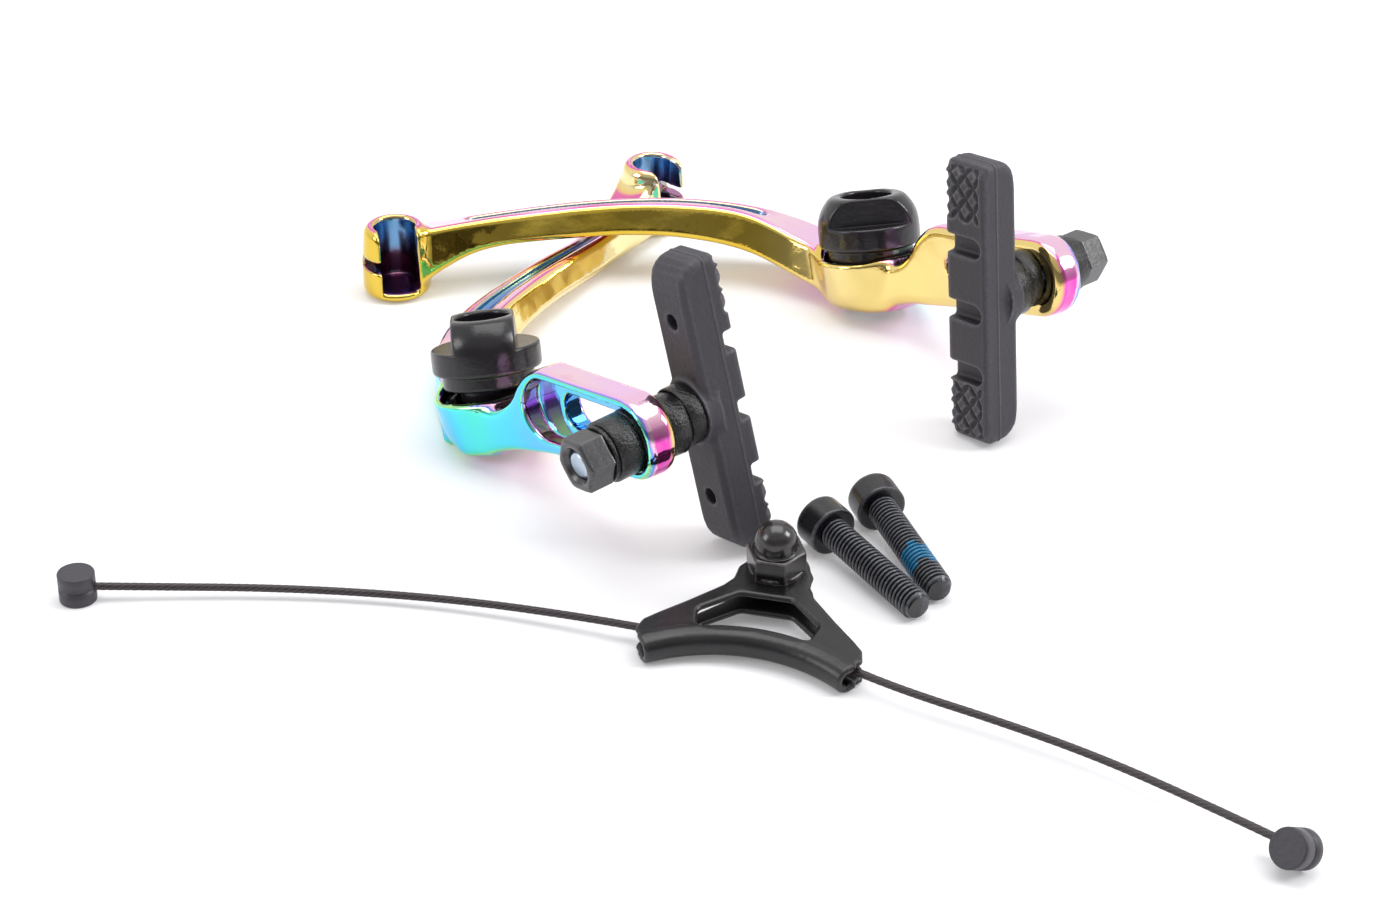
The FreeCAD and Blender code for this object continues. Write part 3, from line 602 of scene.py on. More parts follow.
def arcPoints(start, middle, end, steps=20):  # points of the circle through three points
    (ax, ay), (bx, by), (cx, cy) = start, middle, end
    d = 2.0 * (ax * (by - cy) + bx * (cy - ay) + cx * (ay - by))
    aa, bb, cc = ax ** 2 + ay ** 2, bx ** 2 + by ** 2, cx ** 2 + cy ** 2
    ux = (aa * (by - cy) + bb * (cy - ay) + cc * (ay - by)) / d
    uy = (aa * (cx - bx) + bb * (ax - cx) + cc * (bx - ax)) / d
    angles = np.unwrap([math.atan2(y - uy, x - ux) for x, y in (start, middle, end)])
    first, second = np.linspace(angles[0], angles[1], steps), np.linspace(angles[1], angles[2], steps)
    sweep = np.concatenate([first, second[1:]])
    radius = math.hypot(ax - ux, ay - uy)
    return [(ux + radius * math.cos(a), uy + radius * math.sin(a)) for a in sweep]


def plateOutlines():  # side view (u, z) and plan (u, s) of the slotted plate
    f = armForm
    low, high = f["loopHeight"] - f["rootLow"], f["loopHeight"] + f["rootHigh"]
    endLow, endHigh = f["loopHeight"] - f["endHalf"], f["loopHeight"] + f["endHalf"]
    end, foot = f["studReach"] - 0.6, f["cupBottom"] + 0.6
    side = [(0.0, foot)]
    side += arcPoints((10.0, foot), (15.5, foot + 0.75 * (low - foot)), (22.0, low))
    side += [(end, endLow), (end, endHigh)]
    side += arcPoints((29.0, high), (24.2, high - 1.5), (20.4, high - 4.8))
    side += arcPoints((20.2, high - 5.0), (17.2, f["cupRim"] + 1.7), (12.6, f["cupRim"] + 0.2))
    side += [(0.0, f["cupRim"])]
    outer, inner, start = f["outerFace"], f["innerFace"], f["faceStart"]
    plan = [(-1.0, -7.0), (2.7, 1.7 - f["cupRadius"]), (27.0, outer - 0.3), (80.0, outer), (80.0, inner),
            (start, inner), (start - 10.0, 1.2 * inner), (8.0, 1.5 * inner), (-1.0, 1.5 * inner)]
    return side, [tuple(corner) for corner in roundedLoop(plan, 6.0, 7)]


plateSide, platePlan = plateOutlines()
cradleTurn = leaning(armForm["cradleLean"]) @ turnAbout(2, armForm["mouthAngle"])


def cradleDistances(points):  # the cradle's block and its cuts: barrel pocket, mouth and cable slit
    f = armForm
    q = (points - np.array(f["cradleCentre"])) @ cradleTurn
    x, y, z = q.T
    half, reach = f["cradleHeight"] / 2.0, np.hypot(x, y)
    wall = f["cradleRadius"] - 0.7 * share((z + 1.0) / half)
    block = smoothMax(reach - wall, np.abs(z) - half, 2.6)
    floor = f["cradleFloor"] - half
    mouth = np.maximum(np.abs(y) - 0.9 * f["cradleBore"], -x)
    pocket = smoothMax(np.minimum(reach - f["cradleBore"], mouth), floor - z, 0.8)
    slit = np.maximum(np.maximum(np.abs(z) - f["slit"] / 2.0, -y), -1.0 - x)
    return block, pocket, slit


def slotDistance(u, z, start, half):  # round-ended slot from its start to the stud's outermost place
    u = u - np.clip(u, start + half, armForm["studReach"])
    return np.hypot(u, z - armForm["loopHeight"]) - half


def armParts(points, lever):  # the blended body, its cuts with their edge blends, and the place along the lever
    f = armForm
    x, y, z = points.T
    r = np.hypot(x, y)
    u, s = loopAxes(points)
    slope = (f["cupRadius"] - f["cupFoot"]) / (f["cupRim"] - f["cupBottom"] - 2.4)
    cone = (r - f["cupFoot"] - (z - f["cupBottom"] - 2.4) * slope) / math.hypot(1.0, slope)
    cup = smoothMax(smoothMax(cone, f["cupBottom"] - z, 4.2), z - f["cupRim"], 1.0)
    eye = np.hypot(u - f["studReach"] + 0.6, z - f["loopHeight"]) - f["endHalf"]
    side = np.minimum(polygonDistance(u, z, plateSide), eye)
    plate = smoothMax(side, polygonDistance(u, s, platePlan), 2.4)
    t, right, beyond = alongLever(x, y, lever)
    halfWidth, halfDepth, height = (
        np.interp(t, lever["t"], lever[k]) for k in ("halfWidth", "halfDepth", "height"))
    knots = lever["knots"]
    draft = f["draft"] * np.clip(z - height, -halfDepth, halfDepth) * share((knots[6] - t) / 12.0)
    bar = roundedBar(right, z - height, halfWidth - draft, halfDepth, f["cornerRadius"])
    bar = np.where((t > 0.0) & (t < lever["t"][-1]), bar, np.maximum(bar, beyond))
    block, pocket, slit = cradleDistances(points)
    along = np.maximum(knots[2] - t, t - knots[6])
    grooveFloor = height + halfDepth - f["grooveDepth"]
    groove = smoothMax(np.abs(right) - 2.0 * f["grooveWidth"] * halfWidth, grooveFloor - z, 1.2)
    groove = smoothMax(groove, along, 3.0)
    bore = f["cupBore"] + 0.08 * (z - f["cupFloor"])
    hollow = smoothMax(r - bore, f["cupFloor"] - z, 1.0)
    recess = smoothMax(slotDistance(u, z, f["recessStart"], f["recessHalf"]), s - f["recessFloor"], 0.8)
    through = slotDistance(u, z, f["slotStart"], f["slotHalf"])
    body = smoothMin(smoothMin(cup, plate, f["blend"]), bar, f["blend"])
    body = smoothMin(body, block, 0.5 * f["blend"])
    cuts = {"hollow": (hollow, 0.8), "bore": (r - f["bushRadius"], 0.5), "recess": (recess, 1.1),
            "through": (through, 0.8), "groove": (groove, 0.9), "pocket": (pocket, 1.4), "slit": (slit, 0.7)}
    return body, cuts, t


def armField(points, lever):
    body, cuts, _ = armParts(points, lever)
    for cut, k in cuts.values():
        body = smoothMax(body, -cut, k)
    return body


filmPlaces = {  # places in filmColours, and how far the way a face looks shifts them
    "middle": 0.5, "inward": -0.43, "level": -0.12, "underLever": -0.18, "underEdge": 0.735, "top": 0.45,
    "cradle": 0.06, "cradleTop": 0.4, "recess": 0.36, "recessUp": -0.15, "rim": 0.3, "slot": 0.66,
    "patches": 0.06, "pocket": 0.85, "slit": 0.7, "cutReach": 0.35,
    "pale": {"left": (0.7, 0.4), "right": (0.0, 0.45)},  # straw tint along the arm and at its cup
}


def armFilm(form, lever, side):  # film by which way the surface faces: gold inside, pink on top, cyan outside
    f, points, normals = filmPlaces, form["points"], form["normals"]
    _, cuts, t = armParts(points, lever)
    x, y, z = points.T
    angle = math.radians(armForm["loopAngle"] + 90.0)
    onLever = share((t - 14.0) / 14.0)
    right = np.stack([np.interp(t, lever["t"], lever["dy"]), -np.interp(t, lever["t"], lever["dx"])], axis=1)
    inner = unit(towards(np.array([math.cos(angle), math.sin(angle)]), right, onLever[:, None]))
    facing, up = (normals[:, :2] * inner).sum(axis=1), normals[:, 2]
    film = f["middle"] + f["inward"] * facing + f["level"] * share(1.0 - up) * (1.0 - np.abs(facing))
    film = film + f["underLever"] * share(-up) * onLever
    film = towards(film, np.maximum(film, f["underEdge"]), share(-2.5 * up) * share(-4.0 * facing))
    film = towards(film, f["top"], share((up - 0.6) / 0.3))
    film = film + f["patches"] * np.sin(x * 0.19 + 2.4) * np.sin(y * 0.12 + 0.4)
    onCradle = share((t - lever["knots"][5] - 2.0) / 10.0)
    film = towards(film, f["cradle"] + f["cradleTop"] * share(up) ** 3, onCradle)
    onArm, atCup = f["pale"][side]
    pale = towards(onArm, atCup, share(1.0 - (t - 8.0) / 16.0)) * share(1.0 - 3.0 * film)
    near = {name: share(1.0 - np.abs(cut) / f["cutReach"]) for name, (cut, _) in cuts.items()}
    film = towards(film, f["recess"] + f["recessUp"] * up, near["recess"] * share(1.0 + 2.0 * facing))
    across = loopAxes(points)[1]
    onRim = share((z - armForm["cupRim"] + 1.0) / 0.6) * (np.hypot(x, y) < armForm["cupRadius"] + 0.5)
    film = towards(film, f["top"] - f["rim"] * np.sign(across), onRim * share(up))
    film = towards(film, f["slot"], near["through"])
    pocket = np.maximum(np.maximum(near["pocket"], near["groove"]), f["slit"] * near["slit"])
    # low is 1 below the cradle's middle; it darkens the pocket there as painted shade
    below = ((points - np.array(armForm["cradleCentre"])) @ cradleTurn)[:, 2]
    return {"film": share(film), "pocket": f["pocket"] * pocket, "low": share(0.5 - below / 2.0) * onCradle,
            "pale": pale}


def buildArm(side):
    lever = leverTables(side)
    low, high = (-16.0, -68.0, -3.0), (50.0, 108.0, 32.0)
    form = implicitForm(lambda p: armField(p, lever), low, high, armForm["step"])
    film = armFilm(form, lever, side)
    makePiece(side + "_arm", form, armPlace(side), "film", film)
    print(side, "arm", len(form["points"]), "points")


for side in layout:
    buildArm(side)


# Spring caps: a turned cap with two spanner flats

capForm = {
    "flangeBottom": 11.6, "ledge": 16.7, "top": 22.7, "flats": 12.9, "hole": 5.56, "boltHole": 3.3,
    "seat": 13.2, "skirt": 9.4, "skirtBottom": 8.4, "hub": 5.75, "hubRadius": 6.1, "step": 0.3,
    "shoulder": [(11.2, 10.0), (11.2, 13.0), (11.2, 15.6), (11.0, 17.6), (10.35, 19.6), (9.2, 21.4),
                 (7.6, 22.9), (6.4, 23.6)],
}


def shoulderTable():  # radius of the cap's outer wall against its height
    radius, height = np.array(capForm["shoulder"]).T
    at = np.linspace(height[0], height[-1], 300)
    wall = splineTable(height, radius, at)
    return at, wall, np.hypot(1.0, np.gradient(wall, at))


shoulderHeight, shoulderRadius, shoulderSlope = shoulderTable()


def capField(points):
    f = capForm
    x, y, z = points.T
    r = np.hypot(x, y)
    wall = np.interp(z, shoulderHeight, shoulderRadius)
    body = (r - wall) / np.interp(z, shoulderHeight, shoulderSlope)
    body = smoothMax(smoothMax(body, z - f["top"], 0.7), f["flangeBottom"] - z, 1.0)
    body = smoothMax(body, -np.maximum(f["ledge"] - z, f["flats"] / 2.0 - np.abs(x)), 0.6)
    skirt = smoothMax(r - f["skirt"], f["skirtBottom"] - z, 0.8)
    skirt = np.maximum(skirt, z - f["flangeBottom"] - 1.0)
    hub = np.maximum(r - f["hubRadius"], np.maximum(f["hub"] - z, z - f["flangeBottom"]))
    body = smoothMin(smoothMin(body, skirt, 0.5), hub, 0.3)
    hole = smoothMax(r - f["hole"], f["seat"] - z, 0.6)
    return smoothMax(smoothMax(body, -hole, 0.7), f["boltHole"] - r, 0.4)


for side in layout:
    form = implicitForm(capField, (-12, -12, 5), (12, 12, 23.5), capForm["step"])
    makePiece(side + "_spring_cap", form, capPlace(side), "capPlastic")
print("spring caps made")


# Pad sets along the stud's X axis

padForm = {
    "back": 11.8, "thickness": 10.6, "length": 60.0, "width": 11.0, "backWidth": 9.0, "edge": 1.6,
    "grooves": (12.3, -1.8, -15.2), "grooveWidth": 4.1, "grooveDepth": 3.0, "grooveLand": 1.6,
    "holes": 36.4, "holeRadius": 1.6, "bossRadius": 6.6, "seam": 6.6, "round": 0.9,
    "diamond": (2.05, 2.5), "diamondDepth": 0.95, "diamondLine": 0.8, "diamondStart": 17.4, "step": 0.3,
}


def padField(points, grooveSide):
    f = padForm
    x, y, z = points.T
    half, back, face, ease = f["length"] / 2.0, f["back"], f["back"] + f["thickness"], f["round"]
    sweep = np.linspace(0.0, 0.5 * math.pi, 7)
    ends = [(back + 5.5 - (5.5 - ease) * math.cos(a), -half + 7.0 - (7.0 - ease) * math.sin(a)) for a in sweep]
    ends += [(face - 2.2, -half + ease), (face - ease, -half + 2.4)]
    sideView = ends + [(a, -b) for a, b in reversed(ends)]
    narrow, wide = f["backWidth"] / 2.0 - 0.5 * ease, f["width"] / 2.0 - ease
    flank = [(back + ease, -narrow), (back + f["edge"] + 0.4, -wide), (face - 1.2, -wide),
             (face - ease, -wide + 0.4)]
    plan = flank + [(a, -b) for a, b in reversed(flank)]
    body = smoothMax(polygonDistance(x, z, sideView) - ease, polygonDistance(x, y, plan) - ease, 1.8)
    boss = np.maximum(np.hypot(y, z) - f["bossRadius"], np.maximum(back - x, x - back - 3.5))
    body = smoothMin(body, boss, 1.0)
    body = body - 0.14 * np.exp(-((x - back - f["seam"]) / 0.2) ** 2)  # moulding line round the block
    across, along = f["diamond"]
    cells = [np.abs(((y / across + sign * z / along) * 0.5) % 1.0 - 0.5) for sign in (1.0, -1.0)]
    lines = np.minimum(cells[0], cells[1]) * 2.0 * across * along / math.hypot(across, along)
    land = f["width"] / 2.0 - f["grooveLand"]
    zone = share(np.minimum(half - 0.8 - np.abs(z), np.abs(z) - f["diamondStart"]) / 0.6)
    zone = zone * share((grooveSide * y + land) / 0.6)
    depth = f["diamondDepth"] * share(1.0 - lines / f["diamondLine"]) * zone
    body = body + depth * share((x - face + 1.8) / 0.8)
    end = land - f["grooveWidth"] / 2.0
    for centre in f["grooves"]:  # round-ended slots, open on one side
        slot = np.hypot(np.maximum(-end - grooveSide * y, 0.0), z - centre) - f["grooveWidth"] / 2.0
        body = smoothMax(body, -smoothMax(slot, face - f["grooveDepth"] - x, 0.8), 0.5)
    for sign in (1.0, -1.0):
        hole = np.maximum(np.hypot(y, z - sign * f["holes"] / 2.0) - f["holeRadius"], x - back - 4.0)
        body = smoothMax(body, -hole, 0.4)
    return smoothMax(body, 3.2 - np.hypot(y, z) - 100.0 * (x > back + 3.0), 0.2)


stackForm = {  # washers on the stud, in mm along it from the ball seats' middle
    "radius": 6.1, "bore": 3.05, "domeBore": 4.6, "innerBall": 10.0, "outerBall": 6.6, "ballGap": 0.12,
    "innerFace": 4.05, "outerFace": -0.45, "padBack": 11.8, "flatStart": -8.2, "flatRadius": 5.6,
    "nutStart": -9.2, "nutEnd": -14.9, "nutFlats": 10.0,
}
studThread = {"start": -14.2, "end": 14.0, "radius": 2.95, "pitch": 1.0, "depth": 0.45, "chamfer": 0.6}


def ballArc(ball, radius, bore, sign, steps=14):  # the arc of a ball face from the bore to the rim
    r = np.linspace(bore, radius, steps)
    return np.stack([sign * np.sqrt(ball ** 2 - r ** 2), r], axis=1)


def ballWashers():  # for each washer its ball, bore, flat face, side of the plate, and whether it swivels
    f = stackForm
    gap = f["ballGap"]
    return {
        "_inner_dome_washer": (f["innerBall"], f["domeBore"], f["innerFace"], 1.0, False),
        "_outer_dome_washer": (f["outerBall"], f["domeBore"] - 0.5, f["outerFace"], -1.0, False),
        "_inner_cup_washer": (f["innerBall"] + gap, f["bore"], f["padBack"], 1.0, True),
        "_outer_cup_washer": (f["outerBall"] + gap, f["bore"], f["flatStart"], -1.0, True),
    }


def washerForm(ball, bore, flat, sign):  # ball face, outer wall with eased corners, flat and bore
    rim = stackForm["radius"]
    face = ballArc(ball, rim, bore, sign)
    lip = face[-1, 0]
    face[-1, 1] -= 0.3
    ease = 0.35 * np.sign(flat - lip)
    wall = [(lip + ease, rim), (flat - ease, rim), (flat - 0.3 * ease, rim - 0.12), (flat, rim - 0.4),
            (flat, bore)]
    return lathe(np.concatenate([face, wall]))


def nutField(points):
    f = stackForm
    x, y, z = points.T
    r = np.hypot(y, z)
    body = smoothMax(hexDistance(y, z, f["nutFlats"]), f["nutEnd"] - x, 0.7)
    body = smoothMax(body, x - f["nutStart"], 0.5)
    body = smoothMax(body, (r - f["nutFlats"] / 2 - 0.1 + (f["nutEnd"] - x) * 1.5) * 0.55, 0.3)
    bore = smoothMax(3.0 - r, (3.9 - r + f["nutEnd"] - x) * 0.7, 0.2)
    return smoothMax(body, bore, 0.25)


def buildPadSet(side):
    f = stackForm
    stud, seat = studPlace(side), studPlace(side, swivelled=False)
    grooveSide = layout[side]["grooveSide"]
    form = implicitForm(lambda p: padField(p, grooveSide), (11, -7, -31), (23.2, 7, 31), padForm["step"])
    makePiece(side + "_brake_pad", form, stud, "padRubber")
    for node, (*shape, swivels) in ballWashers().items():
        makePiece(side + node, washerForm(*shape), stud if swivels else seat, "washerPaint")
    low, high = f["nutStart"] + 0.02, f["flatStart"] - 0.02
    section = [(low, f["bore"]), (low, f["flatRadius"]), (high, f["flatRadius"]), (high, f["bore"])]
    flat = lathe(roundedLoop(section, 0.25))
    makePiece(side + "_flat_washer", flat, stud, "washerPaint")
    form = implicitForm(nutField, (-15.3, -6.2, -6.2), (-8.9, 6.2, 6.2), 0.25)
    makePiece(side + "_pad_nut", form, stud, "nutPaint")
    makePiece(side + "_pad_stud", threadForm(studThread), stud, "studSteel")
    print(side, "pad set made")


for side in layout:
    buildPadSet(side)


# Straddle yoke: two plates joined by an arched fold

yokeForm = {
    "sheet": 1.3, "fold": 2.7, "arch": 33.0, "archHalf": 36.0, "reach": 19.0, "neck": 6.3, "halfWidth": 20.6,
    "pinch": 2.5, "turn": -15.0, "head": 2.2, "headRadius": 4.2, "round": 1.1, "step": 0.3,
    "nutFlats": 10.0, "nutHeight": 5.0, "nutFlange": 5.3, "domeRadius": 4.0, "domeHeight": 10.5,
    "legs": [(0.69, -0.705), (0.90, -0.947), (1.0, -1.074)],  # shares of the half width and the reach
    "window": [(0.24, -0.442), (0.544, -0.79), (0.515, -0.958), (0.388, -1.01)],
}


def yokePlace():  # frame at the pinch bolt's hole on the lower plate's underside
    f = yokeForm
    span = f["reach"] + f["arch"] * (1.0 - math.cos(math.radians(f["archHalf"]))) - f["headRadius"]
    matrix = turns(f["turn"], 0.0, math.degrees(math.atan2(f["head"], span)))
    tip = 2.0 * f["fold"] + f["domeHeight"] - f["domeRadius"] - 0.5
    discs = [(-f["head"], f["headRadius"]), (0.0, f["headRadius"]), (tip, f["pinch"])]
    return stackPlace("pinch_bolt", matrix, 2, discs)


def mirrored(right):  # a closed outline from its right half, last corner on the middle line
    return right + [(-a, b) for a, b in reversed(right[:-1])]


def shrunk(corners, amount):  # an outline drawn in towards its middle, to be grown again with round corners
    corners = np.array(corners)
    middle = corners.mean(axis=0)
    size = np.abs(corners - middle).max(axis=0)
    return [tuple(corner) for corner in middle + (corners - middle) * (1.0 - amount / size)]


def yokeField(points):
    f = yokeForm
    x, y, z = points.T
    w, n, up, reach, ease = f["halfWidth"], f["neck"], f["fold"], f["reach"], f["round"]
    centreY = -reach - f["arch"]
    half = math.radians(f["archHalf"])
    end = np.array([math.sin(half), math.cos(half)])
    corner, foot = end * (f["arch"] + 3.0) + [0, centreY], end * (f["arch"] - 0.2) + [0, centreY]
    legs, window = ([(a * w, b * reach) for a, b in f[key]] for key in ("legs", "window"))
    outline = mirrored([(n, 0.0), (n + 0.3, -0.19 * reach), (n + 2.0, -0.35 * reach), *legs, tuple(corner),
                        tuple(foot), (0.0, -reach - 0.2)])
    plan = smoothMin(polygonDistance(x, y, shrunk(outline, ease)) - ease, np.hypot(x, y) - n, 2.0)
    fromArch = np.hypot(x, y - centreY)
    plan = np.maximum(plan, f["arch"] - fromArch)
    window = mirrored([*window, (0.0, 1.6 - reach)])
    opening = polygonDistance(x, y, shrunk(window, 1.7 * ease)) - 1.7 * ease
    plan = smoothMax(plan, -opening, 0.6)
    level = np.minimum(np.abs(z - f["sheet"] / 2.0), np.abs(z - 2.0 * up + f["sheet"] / 2.0))
    plates = smoothMax(plan, level - f["sheet"] / 2.0, 0.9)
    bend = np.abs(np.hypot(np.minimum(fromArch - f["arch"], 0.0), z - up) - up + f["sheet"] / 2.0)
    angle = np.arctan2(np.abs(x), y - centreY)
    run = np.maximum((angle - half) * f["arch"], fromArch - f["arch"] - 1.5)
    channel = smoothMax(bend - f["sheet"] / 2.0, run, 0.7)
    body = smoothMin(plates, channel, 0.5)
    return smoothMax(body, f["pinch"] - np.hypot(x, y), 0.3)


def domeNutField(points):
    f = yokeForm
    x, y, z = points.T
    r = np.hypot(x, y)
    bottom = 2.0 * f["fold"]
    top = bottom + f["nutHeight"]
    hexed = smoothMax(smoothMax(hexDistance(x, y, f["nutFlats"]), z - top, 0.5), bottom - z, 0.2)
    hexed = smoothMax(hexed, (r - 5.25 + (z - top) * 1.6) * 0.53, 0.25)
    flange = np.maximum(r - f["nutFlange"], np.maximum(bottom - z, z - bottom - 0.9))
    centre = bottom + f["domeHeight"] - f["domeRadius"]
    dome = np.hypot(r, np.maximum(z - centre, 0.0)) - f["domeRadius"]
    dome = np.maximum(dome, bottom - z)
    body = smoothMin(smoothMin(hexed, flange, 0.3), dome, 0.5)
    return smoothMax(body, 2.55 - np.hypot(r, np.maximum(z - centre, 0.0)), 0.1)


yokeSeat = yokePlace()
form = implicitForm(yokeField, (-24, -28, -0.2), (24, 7, 5.8), yokeForm["step"])
makePiece("yoke", form, yokeSeat, "yokePaint")
form = implicitForm(domeNutField, (-6.2, -6.2, 5.2), (6.2, 6.2, 16.2), 0.25)
makePiece("dome_nut", form, yokeSeat, "domeGloss")
print("yoke and dome nut made")


# Straddle cable: six strands twisted round the route's smooth line

cableForm = {"radius": 0.75, "strands": 6, "lay": 9.0, "spacing": 0.4, "around": 30, "depth": 0.13}
cableRoute = [  # control points from the left barrel to the right one, in metres
    (-0.119026, -0.06811, 0.0030), (-0.106526, -0.06771, 0.0026), (-0.086526, -0.06741, 0.0022),
    (-0.066526, -0.06881, 0.0020), (-0.046526, -0.07231, 0.0022), (-0.026526, -0.07831, 0.0028),
    (-0.010526, -0.08431, 0.0034), (-0.000526, -0.08701, 0.0036), (0.009474, -0.08871, 0.0036),
    (0.019474, -0.09411, 0.0034), (0.031474, -0.10291, 0.0033), (0.047474, -0.11171, 0.0030),
    (0.063474, -0.12211, 0.0030), (0.079474, -0.13611, 0.0036), (0.091074, -0.14801, 0.0046),
]


def routePoints():  # points read from the NURBS line through the route
    curve = bpy.data.curves.new("cableLine", "CURVE")
    curve.dimensions = "3D"
    spline = curve.splines.new("NURBS")
    spline.points.add(len(cableRoute) - 1)
    for point, place in zip(spline.points, cableRoute):
        point.co = (*place, 1.0)
    spline.order_u = 3
    spline.use_endpoint_u = True
    spline.resolution_u = 24
    holder = bpy.data.objects.new("cableLine", curve)
    bpy.context.scene.collection.objects.link(holder)
    bpy.context.view_layer.update()
    line = bpy.data.meshes.new_from_object(holder.evaluated_get(bpy.context.evaluated_depsgraph_get()))
    points = np.zeros(len(line.vertices) * 3)
    line.vertices.foreach_get("co", points)
    bpy.data.objects.remove(holder)
    bpy.data.curves.remove(curve)
    bpy.data.meshes.remove(line)
    return points.reshape(-1, 3)


barrelForm = {
    "radius": 3.55, "height": 6.0, "groove": 0.22, "bevel": 0.3,
    "axes": {"left_barrel": (0.0, 0.0, 1.0), "right_barrel": (-0.62, -0.61, 0.5)},
}


def buildBarrel(node, axis):  # turned end with a thin groove round its middle
    f = barrelForm
    h, r, g, b = f["height"] / 2.0, f["radius"], f["groove"], f["bevel"]
    half = [(0.5 * g, r - g), (0.8 * g, r), (h - b, r), (h - 0.3 * b, r - 0.3 * b), (h, r - b)]
    wall = [(-x, radius) for x, radius in reversed(half)] + half
    low, high = nodeBox(node)
    matrix = leaning(axis) @ turnAbout(1, -90.0)
    return makePiece(node, lathe(np.array(wall), closed=False), (matrix, (low + high) / 2.0), "barrelPaint")


def buildCable():  # radius dips between strands, whose crests wind round by one turn each lay
    f = cableForm
    line = routePoints()
    run = np.concatenate([[0.0], np.cumsum(np.linalg.norm(np.diff(line, axis=0), axis=1))])
    at = np.linspace(0.0, run[-1], int(run[-1] * 1000.0 / f["spacing"]))
    path = np.stack([np.interp(at, run, line[:, i]) for i in range(3)], axis=1)
    tangent = unit(np.gradient(path, axis=0))
    across = unit(np.cross(tangent, (0.0, 0.0, 1.0)))
    above = np.cross(across, tangent)
    angle = np.linspace(0.0, 2.0 * math.pi, f["around"], endpoint=False)[None, :]
    twist = 2.0 * math.pi * at[:, None] * 1000.0 / f["lay"]
    crest = np.abs(np.sin((angle - twist) * f["strands"] / 2.0))
    radius = f["radius"] - f["depth"] * (1.0 - crest) ** 1.5
    ring = np.cos(angle)[..., None] * across[:, None] + np.sin(angle)[..., None] * above[:, None]
    rows = path[:, None] * 1000.0 + radius[..., None] * ring
    form = gridForm(rows, closed=False)
    # edge: positive on the strands' crests, where the finish wears, negative between strands, which are darkened
    # as painted shade
    form["edge"] = 1.3 * crest.ravel() - 0.8
    piece = makePiece("straddle_cable", form, (np.eye(3), np.zeros(3)), "cableStrand")
    ends = [buildBarrel(name, axis) for name, axis in barrelForm["axes"].items()]
    print("cable", round(run[-1] * 1000.0, 1), "mm long")


# Pivot bolts: rolled thread and socket head

boltForm = {
    "length": 28.0, "radius": 3.0, "pitch": 1.0, "depth": 0.55, "head": 5.0, "headHeight": 6.0, "key": 5.0,
    "keyDepth": 3.2, "lean": -3.8, "heading": {"front": -57.8, "back": -70.4}, "patch": (6.6, 12.4),
}


def boltHeadField(points):
    f = boltForm
    x, y, z = points.T
    r = np.hypot(y, z)
    top = f["length"] + f["headHeight"]
    body = smoothMax(smoothMax(r - f["head"], x - top, 1.2), f["length"] - x, 0.4)
    socket = smoothMax(hexDistance(y, z, f["key"]), top - f["keyDepth"] - x, 0.3)
    return smoothMax(body, -socket, 0.5)


def threadlockMaterial(base):  # the bolt's finish with dry blue threadlock where the patch attribute is set
    material = base.copy()
    material.name = "boltThreadlock"
    tree = material.node_tree
    shader = tree.nodes["Principled BSDF"]
    worn = shader.inputs["Base Color"].links[0].from_socket
    dry = mixColour(tree, objectNoise(tree, 900.0, 3.0), linear(0.03, 0.36, 0.54), linear(0.10, 0.52, 0.70))
    crest = mathNode(tree, "MULTIPLY_ADD", attributeNode(tree, "edge"), 0.6, 0.6)
    amount = mathNode(tree, "MULTIPLY", attributeNode(tree, "patch"), mathNode(tree, "MAXIMUM", crest, 0.25))
    patched = mixColour(tree, mathNode(tree, "MINIMUM", amount, 1.0), worn, dry)
    tree.links.new(patched, shader.inputs["Base Color"])
    return material


def boltPlace(name):  # the bolt lies on its head's rim and its tip
    f = boltForm
    matrix = turnAbout(2, f["heading"][name] + 180.0) @ turnAbout(1, f["lean"])
    top = f["length"] + f["headHeight"]
    discs = [(0.0, f["radius"] - 0.8), (0.8, f["radius"]), (f["length"], f["head"]), (top - 0.5, f["head"]),
             (top, f["head"] - 0.5)]
    return stackPlace(name + "_pivot_bolt", matrix, 0, discs)


def buildBolt(name):
    f = boltForm
    thread = {"start": 0.0, "end": f["length"] + 0.5, "chamfer": 1.2}
    thread.update({key: f[key] for key in ("radius", "pitch", "depth")})
    top = f["length"] + f["headHeight"]
    head = implicitForm(boltHeadField, (f["length"] - 0.2, -5.2, -5.2), (top + 0.2, 5.2, 5.2), 0.25)
    form = joined(threadForm(thread), head)
    x, y, z = form["points"].T
    wavy = 0.6 * np.sin(y * 1.7) + 0.4 * np.sin(z * 2.3 + x * 2.0)
    start, end = f["patch"]
    patch = {"patch": ((x > start + wavy) & (x < end + wavy) & (name == "back")).astype(float)}
    finish = "boltThreadlock" if name == "back" else "boltOxide"
    makePiece(name + "_pivot_bolt", form, boltPlace(name), finish, patch)


materials["boltThreadlock"] = threadlockMaterial(materials["boltOxide"])
for name in boltForm["heading"]:
    buildBolt(name)
print("pivot bolts made")
buildCable()


# CAD nodes that stay as they are

kept = {
    "pivot_bush": "bushBronze", "return_spring": "springSteel", "pinch_bolt": "boltOxide",
    "lower_clamp_washer": "washerPaint", "upper_clamp_washer": "washerPaint",
}
for name, node in frame["nodes"].items():
    for ending, finish in kept.items():
        if name.endswith(ending):
            node.data.materials.clear()
            node.data.materials.append(materials[finish])


# Stage: white floor, soft light, camera at the photograph's angle

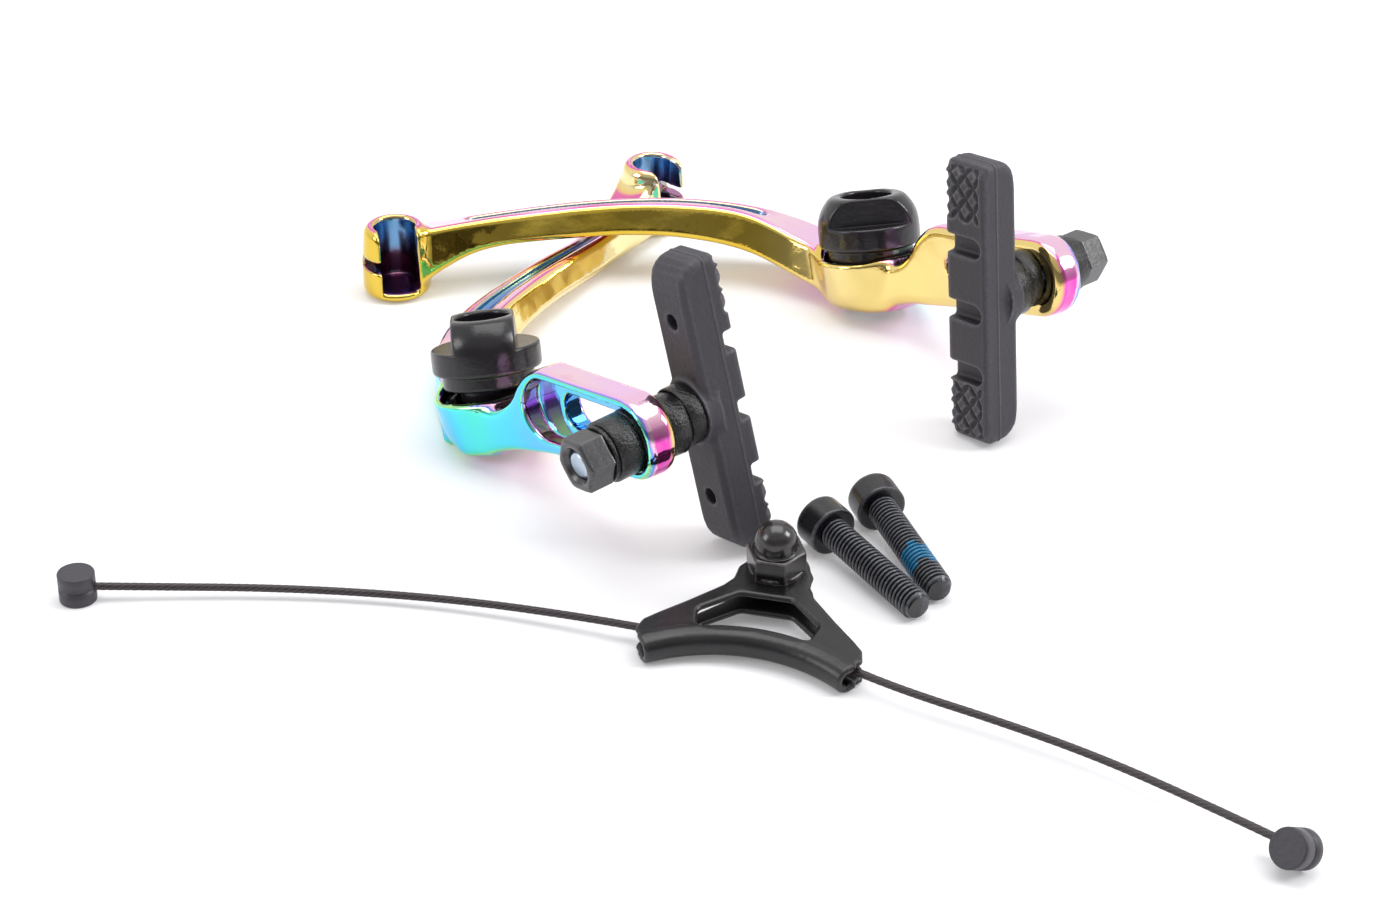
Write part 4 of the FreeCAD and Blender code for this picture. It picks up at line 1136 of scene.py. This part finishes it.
stageLook = {
    "floor": 3.0, "floorColour": (0.93, 0.925, 0.935), "glow": 0.16, "worldLight": 0.56,
    "cameraPlace": (-6.526, -536.6, 304.4), "elevation": 30.32, "focalPixels": 2965.0, "imageWidth": 1379.0,
    "band": [(0.0, 0.9, 0.9), (0.04, 0.6, 0.6), (0.12, 0.26, 0.27), (0.46, 0.2, 0.21), (0.56, 0.5, 0.5),
             (1.0, 0.6, 0.6)],  # height, grey and blue of what the camera's side reflects
    "lamps": {"overheadSoftbox": ((0.05, 0.10, 0.95), (0.9, 0.7), 5.6),  # place, size in metres, watts
              "leftSoftbox": ((-0.90, -0.30, 0.50), (0.4, 0.4), 2.4),
              "rightSoftbox": ((0.85, -0.05, 0.62), (0.34, 0.34), 4.4)},
}


def floorMaterial():
    material, tree, shader = newMaterial("paleFloor")
    shader.inputs["Base Color"].default_value = linear(*stageLook["floorColour"])
    shader.inputs["Roughness"].default_value = 0.6
    shader.inputs["Specular IOR Level"].default_value = 0.2
    rays = tree.nodes.new("ShaderNodeLightPath")
    seen = mathNode(tree, "MAXIMUM", rays.outputs["Is Camera Ray"], rays.outputs["Is Glossy Ray"])
    seen = mathNode(tree, "MAXIMUM", seen, rays.outputs["Is Transmission Ray"])
    shader.inputs["Emission Color"].default_value = (1.0, 1.0, 1.0, 1.0)
    tree.links.new(mathNode(tree, "MULTIPLY", seen, stageLook["glow"]), shader.inputs["Emission Strength"])
    return material


def buildFloor():
    half = stageLook["floor"] / 2.0
    mesh = bpy.data.meshes.new("floor")
    corners = [(-half, -half, 0), (half, -half, 0), (half, half, 0), (-half, half, 0)]
    mesh.from_pydata(corners, [], [(0, 1, 2, 3)])
    mesh.materials.append(floorMaterial())
    floor = bpy.data.objects.new("floor", mesh)
    bpy.context.scene.collection.objects.link(floor)


def buildWorld():  # white studio; reflections also show a dark band low down on the camera's side
    world = bpy.data.worlds.new("studio")
    bpy.context.scene.world = world
    world.use_nodes = True
    tree = world.node_tree
    background = tree.nodes["Background"]
    direction = tree.nodes.new("ShaderNodeTexCoord").outputs["Generated"]
    split = tree.nodes.new("ShaderNodeSeparateXYZ")
    tree.links.new(direction, split.inputs[0])
    rays = tree.nodes.new("ShaderNodeLightPath")
    stops = [(height, (grey, grey, blue, 1.0)) for height, grey, blue in stageLook["band"]]
    height = colourRamp(tree, split.outputs["Z"], stops)
    side = mathNode(tree, "MULTIPLY_ADD", split.outputs["Y"], 1.6, 0.9)
    side.node.use_clamp = True
    flagged = mixColour(tree, side, height, (1.0, 1.0, 1.0, 1.0))
    white = mathNode(tree, "MAXIMUM", rays.outputs["Is Camera Ray"], rays.outputs["Is Transmission Ray"])
    seen = mixColour(tree, white, flagged, (1.0, 1.0, 1.0, 1.0))
    lit = stageLook["worldLight"]
    mirror = mathNode(tree, "MAXIMUM", white, rays.outputs["Is Glossy Ray"])
    tree.links.new(mixColour(tree, mirror, (lit, lit, lit, 1.0), seen), background.inputs["Color"])


def addLamp(name, place, size, power):  # a soft box that looks at the origin
    lamp = bpy.data.lights.new(name, "AREA")
    lamp.shape = "RECTANGLE"
    lamp.size, lamp.size_y = size
    lamp.energy = power
    holder = bpy.data.objects.new(name, lamp)
    holder.location = place
    bpy.context.scene.collection.objects.link(holder)
    z = np.array(place) / np.linalg.norm(place)
    x = np.cross((0.0, 1.0, 0.001), z)
    x = x / np.linalg.norm(x)
    y = np.cross(z, x)
    holder.rotation_euler = math.atan2(y[2], z[2]), -math.asin(x[2]), math.atan2(x[1], x[0])


def buildCamera():
    look = stageLook
    data = bpy.data.cameras.new("photoCamera")
    data.sensor_width = 36.0
    data.lens = 36.0 * look["focalPixels"] / look["imageWidth"]
    data.clip_start, data.clip_end = 0.01, 20.0
    camera = bpy.data.objects.new("photoCamera", data)
    camera.location = [c / 1000.0 for c in look["cameraPlace"]]
    camera.rotation_euler = (math.radians(90.0 - look["elevation"]), 0.0, 0.0)
    bpy.context.scene.collection.objects.link(camera)
    bpy.context.scene.camera = camera


buildFloor()
buildWorld()
for name, lamp in stageLook["lamps"].items():
    addLamp(name, *lamp)
buildCamera()
bpy.context.scene.view_settings.view_transform = "Standard"
print("stage made")
